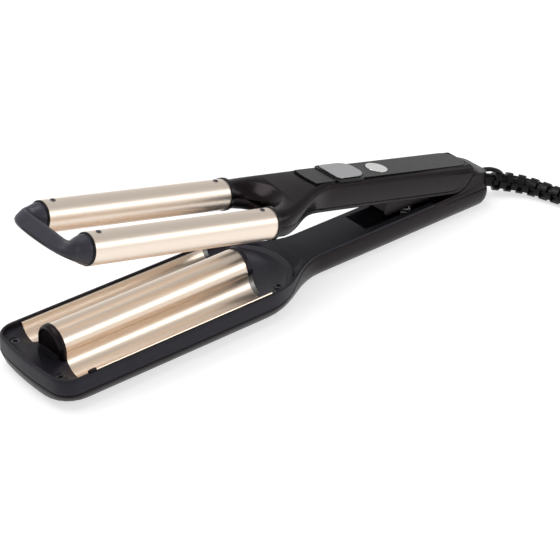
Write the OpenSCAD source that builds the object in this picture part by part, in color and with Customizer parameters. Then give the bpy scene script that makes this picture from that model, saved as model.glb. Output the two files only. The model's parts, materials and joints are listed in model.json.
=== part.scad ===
// Hair waver: a lower arm with a wave plate, an upper arm with two heated barrels,
// a sprung hinge between them, two press buttons, and a mains cord with its plug.
// The lower arm lies on the table at z = 0, the tips point to -X, the cord leaves at +X.

/* [Lower arm] */
// Length of the lower arm from the front of the head to the back of the tail
arm_l = 373; // [365:1:385]
// Width of the rim beside the wave plate
rim_w = 1.7; // [1.3:0.1:3]
// Height of the rim of the head
head_h = 21.7; // [21.2:0.1:22.4]
// Height of the flat inner face of the handle
face_h = 18.6; // [18:0.1:19]
// Height of the seam between the two casings of the head
split_h = 10.7; // [9:0.1:10.7]
// Height of the seam between the casings along the handle
handle_split_h = 16.6; // [16:0.1:16.8]
// Half width of the handle at its inner face
face_hw = 14.5; // [14:0.1:15]
// Length of the shoulder between head and handle
shoulder_l = 60; // [55:1:65]
// Radius of the front corners of the head
head_corner_r = 13; // [8:0.5:18]
// Radius of the rear corners of the tail
tail_corner_r = 9; // [6:0.5:11]
// Wall of the casings
wall = 2.2; // [1.8:0.1:2.4]

/* [Tail] */
// Height of the tail behind the upper arm
tail_h = 28; // [26:0.5:30]
// Height of the tail at its rear edge
tail_rear_h = 25; // [23:0.5:26]
// Height of the seam of the tail cover
tail_split_h = 15; // [14.8:0.1:15.6]
// Distance from the front edge of the tail cover to the hinge
tail_lead = 9; // [8:0.5:11]

/* [Wave plate] */
// Distance from the front of the head to the wave plate
plate_margin = 22; // [20:0.5:26]
// Length of the wave plate and of the barrels
plate_l = 138; // [130:1:146]
// Radius of the ridge
ridge_r = 12.2; // [11.8:0.1:12.6]
// Inner radius of the two channels
channel_r = 11.4; // [11.2:0.1:11.6]
// Distance from the ridge to the middle of a channel
channel_pitch = 23.8; // [23.7:0.1:24.5]
// Thickness of the wave plate
plate_t = 1.2; // [1:0.1:1.3]
// Height of the centres of ridge and channels
plate_z = 23.4; // [23.2:0.1:24]

/* [Barrels] */
// Radius of a barrel
barrel_r = 10; // [9.6:0.1:10.2]
// Wall of a barrel
barrel_wall = 1.2; // [1:0.1:1.6]
// Distance from the middle to the axis of a barrel
barrel_pitch = 23.2; // [23:0.1:23.8]
// Height of the barrel axes when the arms are closed
barrel_z = 24.2; // [24.1:0.1:25]
// Thickness of the collar behind each barrel
collar_t = 2.4; // [2:0.1:3]

/* [Upper arm] */
// Height of the top of the upper arm when closed
arm_top = 41.4; // [40.8:0.1:43]
// Height of its underside when closed
arm_bottom = 20.9; // [20.8:0.1:22]
// Half width of the upper handle
arm_hw = 14.5; // [14:0.1:15]
// Radius of the lower rear corner
nose_r = 18.4; // [16:0.2:18.4]
// Height of the seam above the underside
seam_h = 3.5; // [3:0.1:4]
// Radius of a leg of the yoke behind its collar
leg_r = 8.7; // [8.4:0.1:9.4]

/* [Hinge] */
// Distance from the hinge to the back of the tail
hinge_back = 45; // [44:0.5:48]
// Height of the hinge axis
hinge_z = 12; // [11.5:0.1:12]
// Angle between the arms when the spring holds them open
open_angle = 13.6; // [10:0.1:14]
// Diameter of the hinge pin
pin_d = 4.4; // [4:0.1:4.4]
// Diameter of the spring between the arms
spring_d = 8; // [7:0.5:9]
// Diameter of the spring wire
spring_wire = 1; // [0.8:0.1:1.2]

/* [Controls] */
// Distance from the neck to the middle of the thumb pad
pad_at = 18.8; // [15:0.2:24]
// Length of the thumb pad
pad_l = 25; // [22:1:28]
// Width of the thumb pad
pad_w = 21.5; // [20:0.5:22]
// Distance from the neck to the middle of the power button
button_at = 50; // [46:1:60]
// Diameter of the power button
button_d = 15; // [12:0.5:16]
// Travel of both buttons
press = 0.7; // [0.4:0.1:0.8]

/* [Cord] */
// Diameter of the mains cord
cord_d = 5.6; // [5.6:0.1:5.6]
// Outer diameter of the strain relief at the housing
relief_d = 11.8; // [11.8:0.1:11.8]

/* [Fits] */
// Clearance between pieces that are assembled
fit = 0.1; // [0.05:0.01:0.15]
// Radial clearance of the hinge pin
pin_fit = 0.05; // [0.03:0.01:0.08]
// Clearance round a button
button_gap = 0.3; // [0.2:0.05:0.4]
// Clearance of the closed upper arm in the rear dish
seat_gap = 1.3; // [1:0.1:1.5]

/* [Hidden] */
$fn = 48;
eps = 0.01;

// Places along the length, from the front of the head at x0 to the tail at tail_end
x0 = -arm_l / 2;
tail_end = arm_l / 2;
plate_x0 = x0 + plate_margin;
plate_x1 = plate_x0 + plate_l;
barrel_lead = 1;
barrel_x0 = plate_x0 - barrel_lead;
barrel_x1 = barrel_x0 + plate_l;
yoke_x0 = barrel_x1 + collar_t;
shoulder_x0 = plate_x1 - 1;
neck_x = shoulder_x0 + shoulder_l;
hinge_x = tail_end - hinge_back;
tail_x = hinge_x - tail_lead;
pad_x = neck_x + pad_at;
button_x = neck_x + button_at;
plate_hw = channel_pitch + channel_r + plate_t;
head_hw = plate_hw + rim_w;
head_w = 2 * head_hw;

// The outside of the lower arm, level by level: height, inset of the head at its sides,
// half width of the handle, inset of the head at its front
bulge = 1.5;
levels = [
    [0, 9.5, face_hw - 5.5, 6.4],
    [1, 7, face_hw - 3.1, 4.4],
    [2.7, 4.8, face_hw - 1.2, 2.8],
    [5.5, 2.2, face_hw + 0.5, 1.2],
    [8.2, 0.9, face_hw + 1.3, 0.5],
    [11, 0, face_hw + bulge, 0],
    [14, 0, face_hw + 1.1, 0],
    [face_h, 0.1, face_hw, 0.1],
    [head_h - 0.9, 0.2, face_hw, 0.2],
    [head_h, 0.6, face_hw, 0.6],
    [tail_h + 1, 0.6, face_hw, 0.6]
];
fall_x0 = plate_x1 + 3;
fall_l = 22;
rise_x0 = shoulder_x0 + 11.5;
rise_l = 30;
tail_flat = 12;
bow_r = 204;
corner_steps = 6;
shoulder_steps = 10;

// The dishes in front of and behind the wave plate
dish_rim = 2.3;
dish_floor = 18.2;
ramp_tilt = 30;
screw_in = 12;
plate_screw_x = [plate_x0 - screw_in, plate_x1 + screw_in + 3];
plate_screw_y = 24.1;
ramp_l = 14;
skin = 1.8;
rib_x = [plate_x0 + 14, plate_x0 + 70, plate_x1 - 14];
rib_hw = 7.5;
rib_top = plate_z - channel_r - plate_t - 0.3;
ridge_cap_r = ridge_r + 0.8;
cap_t = 3;
cap_block_l = 4.5;
lip_drop = 1;
collar_l = 2.5;
boss_r = 10;
slot_h = 4.8;
heater_in = 12;
heater_lift = 1.5;
heater_w = 12.6;
heater_t = 4.6;
heater_l = 100;
lead_room = 14;
fuse_in = 60;
fuse_l = 16;
fuse_r = 2;

// The pocket in the handle and the stop block that dips into it
pocket_x0 = hinge_x - 67;
pocket_x1 = hinge_x + 9.5;
pocket_hw = 10.5;
pocket_wall = 1.5;
pocket_floor = 6.1;
block_hw = 8.5;
block_l = 51;
lug_hw = 6.5;
lug_r = 5.6;
spring_back = 22;
spring_turns = 6;
tub_x0 = pocket_x0 - pocket_wall;
tub_x1 = pocket_x1 + pocket_wall;
tub_hw = pocket_hw + pocket_wall;
tub_bottom = pocket_floor - 1.3;
bearing_t = 2;
pin_hl = tub_hw + bearing_t - 0.1;
block_screw_x = [hinge_x - 44, hinge_x - 36];
block_screw_l = 5;

// The upper arm, drawn closed and then raised about the hinge
collar_r = barrel_r + 0.6;
yoke_hw = barrel_pitch + leg_r;
yoke_bottom = barrel_z - leg_r;
yoke_top = barrel_z + leg_r;
rear_floor = barrel_z - collar_r - seat_gap;
arm_edge_r = 4.9;
arm_low_r = 3;
arm_wall = 1.8;
waist_l = shoulder_l - 13;
belly_lead = 11;
nose_back = 3.1;
nose_x = hinge_x + nose_back;
nose_z = arm_bottom + nose_r;
arm_end = nose_x + nose_r;
spigot_r = barrel_r - barrel_wall - fit;
spigot_l = 11;
barrel_screw_in = 7;
barrel_screw_x = [barrel_x0 + barrel_screw_in, barrel_x1 - barrel_screw_in];
pin_r = 1;
rear_spigot_l = 8;
rear_spigot_r = leg_r - arm_wall;
wire_r = 5.5;
leg_solid = 9;
bar_x = barrel_x0 - 12.2;
bar_bow = -0.3;
bar_hl = 3.9;
bar_step = 10.5;
bar_z0 = barrel_z - 2;
bar_h = 3.8;

// The nose as the spring holds it, and the hollow of the tail round it
raised_nose = raised_point(nose_x, nose_z);
hollow_r = raised_nose[1] - face_h;

// Controls
panel_x0 = neck_x - 14;
panel_hw = 11;
panel_t = 1.1;
panel_seat = 1;
panel_top = arm_top - panel_seat + panel_t;
panel_x1 = arm_end - 1.8;
panel_corner_r = 9.5;
panel_bow = 1;
base_z = arm_top - 1;
base_t = 1.2;
base_rim = 1.9;
rim_h = 0.4;
rim_gap = 0.5;
pad_t = 0.7;
stem_l = 16;
stem_w = 11;
board_z = 28;
board_t = 1.6;
switch_h = 4;
plunger_r = 1.7;
plunger_l = 4.4;
switch_top = board_z + board_t + switch_h;
plunger_top = switch_top + plunger_l - 1;
switch_x = [pad_x - 5, pad_x + 5, button_x];
board_x0 = pad_x - 14.3;
board_l = hinge_x - 8.5 - board_x0;
board_hw = 9.5;
board_screw_x = [board_x0 + 2.2, board_x0 + board_l - 4];
board_screw_y = 6.5;
board_shank_r = 1.1;

// Fasteners
shank_r = 1.5;
head_r = 3;
head_t = 1.4;
post_r = 4;
screw_reach = 7;
sink = 3;
boss_top = 5.5;
casing_screw_x = [neck_x + 12, tail_end - 12.5];
casing_screw_y = 6.9;
casing_post_r = 3.6;
cord_z = 12;
clamp_x = tail_end - 23;
clamp_hl = 3.5;
clamp_hw = 9.5;
clamp_t = 5;
clamp_screw_y = 6;
clamp_lead = 6.5;
boot_x = tail_end - 5;
boot_r = 5;
seat_web = 1.5;
// Screws that hold the cover of the upper arm: place along, place across, height of the seat
cover_screw_in = 31;
nose_screw_in = 7;
cover_screws_at = [
    [yoke_x0 + cover_screw_in, -0.55 * barrel_pitch, arm_bottom - 1],
    [yoke_x0 + cover_screw_in, 0.55 * barrel_pitch, arm_bottom - 1],
    [nose_x + nose_screw_in, 0, arm_bottom + 4]
];

// The relief, then the cord on the table, the coil and the plug behind the table's edge of the view
loop_route = [
    [185.4, 0, 21.5], [189, -0.8, 22], [194.5, -3, 21.6],
    [199, -6, 19.4], [201, -7.6, 15.5], [201, -7.6, 12.5]
];
cord_route = [
    [186.5, 0, 12], [193, -2.5, 11.5], [203, -9, 9.5], [211, -16, 8], [216.5, -24, 7], [220.5, -33, 6.2],
    [224, -45, 6], [225, -50, 6], [225.8, -55, 5.2], [226, -60, 4.2], [226, -65, 3.4]
];
route_steps = 8;
neck_end = 2;
relief_end = 7;
coil_centre = [269.5, -77, 0];
coil_inner_r = 20.5;
coil_outer_r = 43.5;
coil_layers = 2;
plug_route = [
    [312.2, -70.8, 10.2], [309.8, -65, 12.2], [306, -60, 14],
    [301, -56.2, 15.8], [295.2, -53.8, 17.4], [289.3, -53, 18.2]
];
plug_at = [288.8, -53, 18.2];
plug_l = 36;
plug_pin_l = 19;

function ease(t) = 0.5 - 0.5 * cos(180 * t);
function clamp01(t) = min(1, max(0, t));
function arc(cx, cy, r, a0, a1, n) = [
    for (i = [0 : n]) let (a = a0 + (a1 - a0) * i / n) [cx + r * cos(a), cy + r * sin(a)]
];
function raised_point(x, z) = [
    hinge_x + (x - hinge_x) * cos(open_angle) + (z - hinge_z) * sin(open_angle),
    hinge_z - (x - hinge_x) * sin(open_angle) + (z - hinge_z) * cos(open_angle)
];

// Half of the outline of the lower arm from the front to the back, on the +Y side
function half_outline(inset, hw, rc, front) =
    let (
        bow_x = x0 + front - inset + bow_r,
        corner_y = head_hw - inset - rc,
        turn = asin(corner_y / (bow_r - inset - rc)),
        corner_x = bow_x - (bow_r - inset - rc) * cos(turn),
        shrink = min(face_hw + bulge - hw, tail_corner_r - 1)
    )
    concat(
        [for (i = [0 : 2]) let (bend = turn * i / 3)
            [bow_x - (bow_r - inset) * cos(bend), (bow_r - inset) * sin(bend)]],
        arc(corner_x, corner_y, rc, 180 - turn, 90, corner_steps),
        [for (i = [0 : shoulder_steps]) let (t = i / shoulder_steps)
            [shoulder_x0 + t * shoulder_l, hw + (head_hw - inset - hw) * (1 - ease(t))]],
        arc(
            tail_end - tail_corner_r, face_hw + bulge - tail_corner_r,
            tail_corner_r - shrink, 90, 0, corner_steps
        ),
        [[tail_end - shrink, 0]]
    );

// The whole outline at one height, counter-clockwise seen from above
function outline_ring(z, inset, hw, rc, front) =
    let (half = half_outline(inset, hw, rc, front), n = len(half))
    concat(
        [for (i = [n - 1 : -1 : 0]) [half[i][0], half[i][1], z]],
        [for (i = [1 : n - 2]) [half[i][0], -half[i][1], z]]
    );

// A cross section at x: half widths at the bottom and top, their heights, radius of the lower and upper edges
function section(x, hw_low, hw_high, low, high, r_low, r_high) =
    let (
        a = min(r_low, (high - low) / 2 - 0.2),
        b = min(r_high, (high - low) / 2 - 0.2),
        n = 5,
        flat_ring = concat(
            arc(hw_high - b, high - b, b, 0, 90, n), arc(b - hw_high, high - b, b, 90, 180, n),
            arc(a - hw_low, low + a, a, 180, 270, n), arc(hw_low - a, low + a, a, 270, 360, n)
        )
    )
    [for (p = flat_ring) [x, p[0], p[1]]];

// The upper arm at x, grown by g all round: the legs of the yoke run together into the handle
function arm_ring(x, g) =
    let (
        s = x - yoke_x0,
        t = clamp01(s / (neck_x - yoke_x0)),
        slim = pow(ease(clamp01(s / waist_l)), 1.28),
        lift = pow(ease(clamp01((s - belly_lead) / (neck_x - yoke_x0 - belly_lead))), 0.44)
    )
    section(
        x, arm_hw + (yoke_hw - arm_hw) * (1 - slim) + g, arm_hw + (yoke_hw - arm_hw) * (1 - ease(t)) + g,
        yoke_bottom + (arm_bottom - yoke_bottom) * lift - g, yoke_top + (arm_top - yoke_top) * ease(t) + g,
        leg_r + (arm_low_r - leg_r) * sqrt(t) + g, leg_r + (arm_edge_r - leg_r) * sqrt(t) + g
    );

// The bed of the yoke in the lower arm at x, grown by g all round
function bed_ring(x, g) =
    let (
        e = ease(clamp01((x - yoke_x0) / (neck_x - yoke_x0))),
        r = collar_r + (arm_edge_r - collar_r) * e + g,
        hw = arm_hw + (barrel_pitch + collar_r - arm_hw) * (1 - e) + g,
        low = barrel_z - collar_r
    )
    section(x, hw, hw, low + (arm_bottom - low) * e - g, arm_top + g, r, r);

// A smooth curve through the points of a route, k steps to each stretch
function spline(p, k) = concat(
    [for (i = [0 : len(p) - 2], j = [0 : k - 1])
        let (
            a = p[max(i - 1, 0)], b = p[i], c = p[i + 1], d = p[min(i + 2, len(p) - 1)], t = j / k
        )
        0.5 * (2 * b + (c - a) * t + (2 * a - 5 * b + 4 * c - d) * t * t + (3 * b - a - 3 * c + d) * t * t * t)],
    [p[len(p) - 1]]
);
function unit(v) = v / norm(v);
function heading(path, i) = unit(path[min(i + 1, len(path) - 1)] - path[max(i - 1, 0)]);
function hoop(centre, dir, r, n) =
    let (side = unit(cross([0, 0, 1], dir)), up = cross(dir, side))
    [for (k = [0 : n - 1]) let (a = 360 * k / n) centre + r * cos(a) * side + r * sin(a) * up];

// Closed solid through a row of rings that have the same number of points
module loft(rings) {
    n = len(rings[0]);
    m = len(rings);
    sides = [
        for (i = [0 : m - 2], j = [0 : n - 1]) let (k = (j + 1) % n)
            each [[i * n + j, (i + 1) * n + j, (i + 1) * n + k], [i * n + j, (i + 1) * n + k, i * n + k]]
    ];
    // Each end is closed by rungs between the two halves of its ring
    start = [for (i = [0 : n / 2 - 1]) each [
        if (i < n / 2 - 1) [i, i + 1, n - 1 - i], if (i > 0) [i, n - 1 - i, n - i]
    ]];
    top = (m - 1) * n;
    end = [for (f = start) [top + f[2], top + f[1], top + f[0]]];
    polyhedron(points = [for (ring = rings) each ring], faces = concat(sides, start, end));
}

// Round bar along a path, with one radius for each point, from point i0 to point i1
module tube(path, radii, sides, i0 = 0, i1 = 0) {
    last = i1 > 0 ? i1 : len(path) - 1;
    loft([for (i = [i0 : last]) hoop(path[i], heading(path, i), radii[i], sides)]);
}

// Prism across the arms from an outline in X and Z
module across(points, hw) {
    translate([0, hw, 0]) rotate([90, 0, 0]) linear_extrude(2 * hw) polygon(points);
}
module pin_y(x, z, r, y0, y1) {
    translate([x, y1, z]) rotate([90, 0, 0]) cylinder(r = r, h = y1 - y0);
}
module rod_x(xa, xb, y, z, r) {
    translate([xa, y, z]) rotate([0, 90, 0]) cylinder(r = r, h = xb - xa);
}
module post(x, y, z0, z1, r) {
    translate([x, y, z0]) cylinder(r = r, h = z1 - z0);
}
module block(xa, xb, hw, z0, z1) {
    translate([xa, -hw, z0]) cube([xb - xa, 2 * hw, z1 - z0]);
}
module raise() {
    translate([hinge_x, 0, hinge_z]) rotate([0, open_angle, 0]) translate([-hinge_x, 0, -hinge_z]) children();
}

// ---- Lower arm ----

// The side view: its top line at depth d below the real surface, then closed at height bottom
function top_line(d) =
    let (rise = asin((tail_h - d - raised_nose[1]) / (hollow_r + d)))
    concat(
        [[x0 - 5, head_h - d]],
        [for (i = [0 : 8]) [fall_x0 + i * fall_l / 8, head_h - d + (face_h - head_h) * ease(i / 8)]],
        arc(raised_nose[0], raised_nose[1], hollow_r + d, 270, 360 + rise, 10),
        [[tail_end - tail_flat, tail_h - d], [tail_end + 5, tail_rear_h - d - 1.5]]
    );
function side_view(d, bottom) = concat([[x0 - 5, bottom]], top_line(d), [[tail_end + 5, bottom]]);

// The seam between the casings, from the front to the tail cover
function seam_line() = concat(
    [[x0 - 6, split_h]],
    [for (i = [0 : 8]) [rise_x0 + i * rise_l / 8, split_h + (handle_split_h - split_h) * ease(i / 8)]],
    [[tail_x, handle_split_h]]
);

module lower_shape() {
    intersection() {
        loft([for (l = levels) outline_ring(l[0], l[1], l[2], head_corner_r + 1.2 * l[1], l[3])]);
        across(side_view(0, -1), head_w);
    }
}
// The hollow of the lower arm, up to depth roof below its top
module lower_room(roof) {
    first = levels[2];
    intersection() {
        loft(concat(
            [outline_ring(
                wall, first[1] + 1 + wall, first[2] - 1 - wall,
                head_corner_r + 1.2 * first[1], first[3] + 1 + wall
            )],
            [for (i = [3 : len(levels) - 1]) let (l = levels[i])
                outline_ring(l[0], l[1] + wall, l[2] - wall, head_corner_r + 1.2 * l[1] - wall, l[3] + wall)]
        ));
        across(side_view(roof, 0), head_w);
    }
}

// Where the closed upper arm lies, grown by g
module arm_bed(g) {
    loft([for (i = [0 : 14]) bed_ring(plate_x1 - 1 + i * (neck_x - plate_x1 + 1) / 14, g)]);
}
// The two ramps that rise from the channels to the front dish, grown by g
module ramps(g) {
    for (side = [-1, 1]) {
        loft([for (d = [ramp_l, 0, -1]) [for (k = [0 : 35])
            [plate_x0 - d, side * channel_pitch + (channel_r + g) * cos(10 * k),
                plate_z + max(d, 0) * tan(ramp_tilt) + (channel_r + g) * sin(10 * k)]]]);
    }
}
module front_dish() {
    outline = [for (p = outline_ring(0, dish_rim, face_hw, head_corner_r - dish_rim, dish_rim)) [p[0], p[1]]];
    translate([0, 0, dish_floor]) intersection() {
        linear_extrude(10) polygon(outline);
        block(x0, plate_x0, head_w, -1, 11);
    }
}
module at_plate_screws() {
    for (i = [0 : 1], side = [-1, 1]) translate([plate_screw_x[i], side * plate_screw_y, 0]) children(i);
}
module at_casing_screws(rows = [0, 1]) {
    for (i = rows, side = [-1, 1]) translate([casing_screw_x[i], side * casing_screw_y, 0]) children();
}
module at_clamp_screws() {
    for (side = [-1, 1]) translate([clamp_x, side * clamp_screw_y, 0]) children();
}

module lower_casing() {
    color("#26262b") difference() {
        union() {
            difference() {
                intersection() {
                    lower_shape();
                    across(concat(
                        [[x0 - 6, -2]], seam_line(),
                        [[tail_x, tail_split_h], [tail_end + 6, tail_split_h], [tail_end + 6, -2]]
                    ), head_w);
                }
                lower_room(-1);
                block(tub_x0 - 0.3, tub_x1 + 0.3, tub_hw + 0.3, tub_bottom - 0.3, tail_h);
            }
            // Posts under the plate screws and bosses round the casing screws
            intersection() {
                lower_shape();
                at_plate_screws() {
                    post(0, 0, wall - 1, split_h, post_r);
                    post(0, 0, wall - 1, split_h, post_r);
                }
            }
            at_casing_screws() post(0, 0, wall - 1, boss_top, casing_post_r);
            // Ribs that carry the wave plate
            for (x = rib_x, side = [-1, 1]) translate([x, side * channel_pitch, wall - 0.5])
                translate([-1, -rib_hw, 0]) cube([2, 2 * rib_hw, rib_top - wall + 0.5]);
            // Bearings of the hinge pin
            intersection() {
                lower_shape();
                for (side = [-1, 1])
                    translate([hinge_x - 5, side * (tub_hw + bearing_t / 2 + fit) - bearing_t / 2, wall - 0.5])
                    cube([10, bearing_t, tail_split_h - wall + 0.5]);
            }
            // Saddle under the mains lead
            block(clamp_x - clamp_hl, clamp_x + clamp_hl, clamp_hw, wall - 0.5, cord_z);
        }
        at_plate_screws() {
            post(0, 0, split_h - screw_reach, split_h + 1, shank_r + fit);
            post(0, 0, split_h - screw_reach, split_h + 1, shank_r + fit);
        }
        at_casing_screws() {
            post(0, 0, -1, sink, head_r + 0.2);
            post(0, 0, -1, boss_top + 1, shank_r + fit);
        }
        at_clamp_screws() post(0, 0, cord_z - 7, cord_z + 1, shank_r + fit);
        pin_y(hinge_x, hinge_z, pin_d / 2 + pin_fit, -pin_hl - fit, pin_hl + fit);
        block(
            hinge_x - pin_d / 2 - pin_fit, hinge_x + pin_d / 2 + pin_fit, pin_hl + fit,
            hinge_z, tail_split_h + 1
        );
        rod_x(clamp_x - 9, tail_end + 2, 0, cord_z, cord_d / 2 + pin_fit);
        rod_x(boot_x, tail_end + 2, 0, cord_z, boot_r + fit);
    }
}

module head_frame() {
    color("#34343b") {
        head_shell();
        block(plate_x0 - cap_block_l, plate_x0 - fit, ridge_r, dish_floor - 1, plate_z);
    }
}
module head_shell() {
    difference() {
        union() {
            difference() {
                intersection() {
                    lower_shape();
                    across(concat(seam_line(), [[tail_x, tail_h + 5], [x0 - 6, tail_h + 5]]), head_w);
                }
                difference() {
                    intersection() {
                        lower_room(wall);
                        block(x0, neck_x, head_w, 0, dish_floor - wall);
                    }
                    arm_bed(seat_gap + skin);
                    ramps(skin);
                    at_plate_screws() {
                        post(0, 0, 0, dish_floor, post_r);
                        post(0, 0, 0, dish_floor, post_r);
                    }
                }
            }
            // Tub of the pocket, which runs on under the tail cover
            block(tub_x0, tail_x, tub_hw, tub_bottom, handle_split_h + 0.5);
            block(tail_x - 1, tub_x1, tub_hw, tub_bottom, tail_split_h);
            at_casing_screws([0]) post(0, 0, boss_top, handle_split_h + 0.5, casing_post_r);
        }
        block(plate_x0 - fit, plate_x1 + fit, plate_hw + fit, 0, tail_h);
        front_dish();
        ramps(0);
        arm_bed(seat_gap);
        at_plate_screws() {
            union() {
                post(0, 0, 0, tail_h, shank_r + fit);
                post(0, 0, dish_floor - head_t - 0.2, tail_h, head_r + 0.2);
            }
            union() {
                post(0, 0, 0, tail_h, shank_r + fit);
                post(0, 0, rear_floor - head_t, tail_h, head_r + 0.2);
            }
        }
        at_casing_screws([0]) post(0, 0, 0, boss_top + screw_reach, shank_r + fit);
        difference() {
            block(pocket_x0, pocket_x1, pocket_hw, pocket_floor, tail_h);
            post(
                hinge_x - spring_back, 0, pocket_floor - 1, pocket_floor + 2,
                spring_d / 2 - spring_wire - 0.3
            );
        }
        pin_y(hinge_x, hinge_z, pin_d / 2 + pin_fit, -tub_hw - 1, tub_hw + 1);
    }
}

module tail_cover() {
    color("#26262b") difference() {
        union() {
            difference() {
                intersection() {
                    lower_shape();
                    block(tail_x, tail_end + 1, head_w, tail_split_h, tail_h + 5);
                }
                difference() {
                    lower_room(wall);
                    block(x0, tail_x + wall, head_w, 0, tail_h);
                }
            }
            intersection() {
                lower_shape();
                at_casing_screws([1]) post(0, 0, boss_top, tail_rear_h, casing_post_r);
            }
        }
        block(tail_x - 1, pocket_x1, block_hw + button_gap, tail_split_h - 1, tail_h);
        at_casing_screws([1]) post(0, 0, 0, boss_top + screw_reach, shank_r + fit);
        rod_x(boot_x, tail_end + 2, 0, cord_z, boot_r + fit);
    }
}

// The wave plate is one length of drawn aluminium: ridge, two channels and the slot for its heater
module wave_plate() {
    color("#b9a06a") difference() {
        translate([plate_x0, 0, plate_z]) rotate([90, 0, 90]) linear_extrude(plate_l) {
            difference() {
                circle(ridge_r);
                circle(ridge_r - plate_t);
                translate([-head_w, -head_w]) square([2 * head_w, head_w]);
            }
            for (side = [-1, 1]) difference() {
                translate([side * channel_pitch, 0]) circle(channel_r + plate_t);
                translate([side * channel_pitch, 0]) circle(channel_r);
                translate([-head_w, 0]) square([2 * head_w, head_w]);
                translate([side * (channel_pitch + channel_r), 0])
                    square(2 * [channel_r, lip_drop], center = true);
            }
            difference() {
                translate([-ridge_r + 0.8, -slot_h]) square([2 * ridge_r - 1.6, slot_h + 3.6]);
                translate([-heater_w / 2 - fit, heater_lift - slot_h])
                    square([heater_w + 2 * fit, heater_t + 2 * fit]);
            }
        }
        // The web is milled away at the rear for the heater leads
        block(plate_x1 - lead_room, plate_x1 + 1, ridge_r - plate_t - 0.6, 0, plate_z + 3.5);
    }
}

module ridge_cap_front() {
    color("#3a3a42") difference() {
        translate([plate_x0 - cap_t, 0, plate_z])
            rotate([0, 90, 0]) cylinder(r1 = ridge_cap_r - 1.4, r2 = ridge_cap_r, h = cap_t);
        block(plate_x0 - cap_t - 1, plate_x0 + 1, head_w, 0, plate_z);
    }
}
module ridge_collar_rear() {
    color("#2b2b31") intersection() {
        difference() {
            union() {
                rod_x(plate_x1, plate_x1 + collar_l, 0, plate_z, ridge_cap_r);
                intersection() {
                    post(plate_x1 + 1, 0, 0, plate_z, boss_r);
                    block(plate_x1, plate_x1 + 20, head_w, 0, plate_z + 1);
                }
            }
            // Room for the collars of the closed upper arm
            at_barrels() rod_x(plate_x1 - 1, plate_x1 + collar_l + 1, 0, 0, collar_r + 0.4);
        }
        arm_bed(seat_gap);
    }
}

module screw_down(top, length) {
    post(0, 0, top - head_t, top, head_r);
    post(0, 0, top - head_t - length, top - head_t + eps, shank_r);
}
module screw_up(bottom, length) {
    post(0, 0, bottom, bottom + head_t, head_r);
    post(0, 0, bottom + head_t - eps, bottom + head_t + length, shank_r);
}
module plate_screws() {
    color("#c9c9cf") at_plate_screws() {
        screw_down(dish_floor - 0.2, dish_floor - 0.2 - head_t - split_h + screw_reach - 1);
        screw_down(rear_floor, rear_floor - head_t - split_h + screw_reach - 1);
    }
}
module casing_screws() {
    color("#c9c9cf") at_casing_screws() screw_up(sink - head_t, boss_top - sink + screw_reach - 1);
}
module clamp_screws() {
    color("#c9c9cf") at_clamp_screws() screw_down(cord_z + clamp_t + head_t, clamp_t + 6);
}

module lower_heater() {
    color("#8a6a3c")
        translate([plate_x0 + heater_in, -heater_w / 2, plate_z - slot_h + heater_lift + fit])
            cube([heater_l, heater_w, heater_t]);
}
module thermal_fuse() {
    color("#e5dfd0")
        rod_x(plate_x1 - fuse_in, plate_x1 - fuse_in + fuse_l, 0, plate_z - slot_h - fuse_r, fuse_r);
}
module heater_leads() {
    color("#a33b32") for (side = [-1, 1]) {
        route = spline([
            [plate_x0 + heater_in + heater_l + fit, 3 * side, plate_z - slot_h + 4],
            [plate_x1 - 6, 3 * side, plate_z - slot_h + 1],
            [plate_x1 - 3, 2.6 * side, 12], [plate_x1 + 2, 2 * side, 6.5], [plate_x1 + 14, 1.5 * side, 3.9],
            [plate_x1 + 60, 1.2 * side, 3.4], [tub_x1 - 10, 1.2 * side, 3.4], [tub_x1 + 1.3, 1.2 * side, 6.5],
            [tub_x1 + 2.5, 1.3 * side, 10.5], [clamp_x - clamp_lead - 0.6, 1.3 * side, cord_z]
        ], 4);
        tube(route, [for (p = route) 0.8], 8);
    }
}
module cord_clamp() {
    color("#d8d8d0") difference() {
        block(clamp_x - clamp_hl, clamp_x + clamp_hl, clamp_hw, cord_z, cord_z + clamp_t);
        rod_x(clamp_x - 9, clamp_x + 9, 0, cord_z, cord_d / 2 + pin_fit);
        at_clamp_screws() post(0, 0, 0, tail_h, shank_r + fit);
    }
}
module mains_lead() {
    color("#1c1c20") rod_x(clamp_x - clamp_lead, boot_x, 0, cord_z, cord_d / 2);
}

module hinge_pin() {
    color("#c9c9cf") pin_y(hinge_x, hinge_z, pin_d / 2, -pin_hl, pin_hl);
}

// ---- Cord ----

module cord_boot() {
    color("#222227") {
        rod_x(boot_x, tail_end + 2, 0, cord_z, boot_r);
        path = spline(cord_route, route_steps);
        tube(path, [for (p = path) relief_d / 2 - 2.2], 12, 0, neck_end * route_steps);
        loop = spline(loop_route, 4);
        tube(loop, [for (p = loop) 1.5], 8);
    }
}
module strain_relief() {
    path = spline(cord_route, route_steps);
    radii = [for (i = [0 : len(path) - 1]) relief_d / 2 - (i % 3 == 1 ? 0 : 1.2)];
    color("#222227") tube(path, radii, 12, neck_end * route_steps, relief_end * route_steps);
}
module cord_run() {
    path = spline(cord_route, route_steps);
    color("#1c1c20") tube(path, [for (p = path) cord_d / 2], 10, relief_end * route_steps);
}
module cord_coil() {
    low = coil_inner_r - cord_d / 2;
    high = coil_outer_r + cord_d / 2;
    top = coil_layers * cord_d;
    color("#1c1c20") translate(coil_centre) rotate_extrude() polygon([
        [low + 1.5, 0], [high - 1.5, 0], [high, 1.5], [high, top - 1.5],
        [high - 1.5, top], [low + 1.5, top], [low, top - 1.5], [low, 1.5]
    ]);
}
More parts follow.
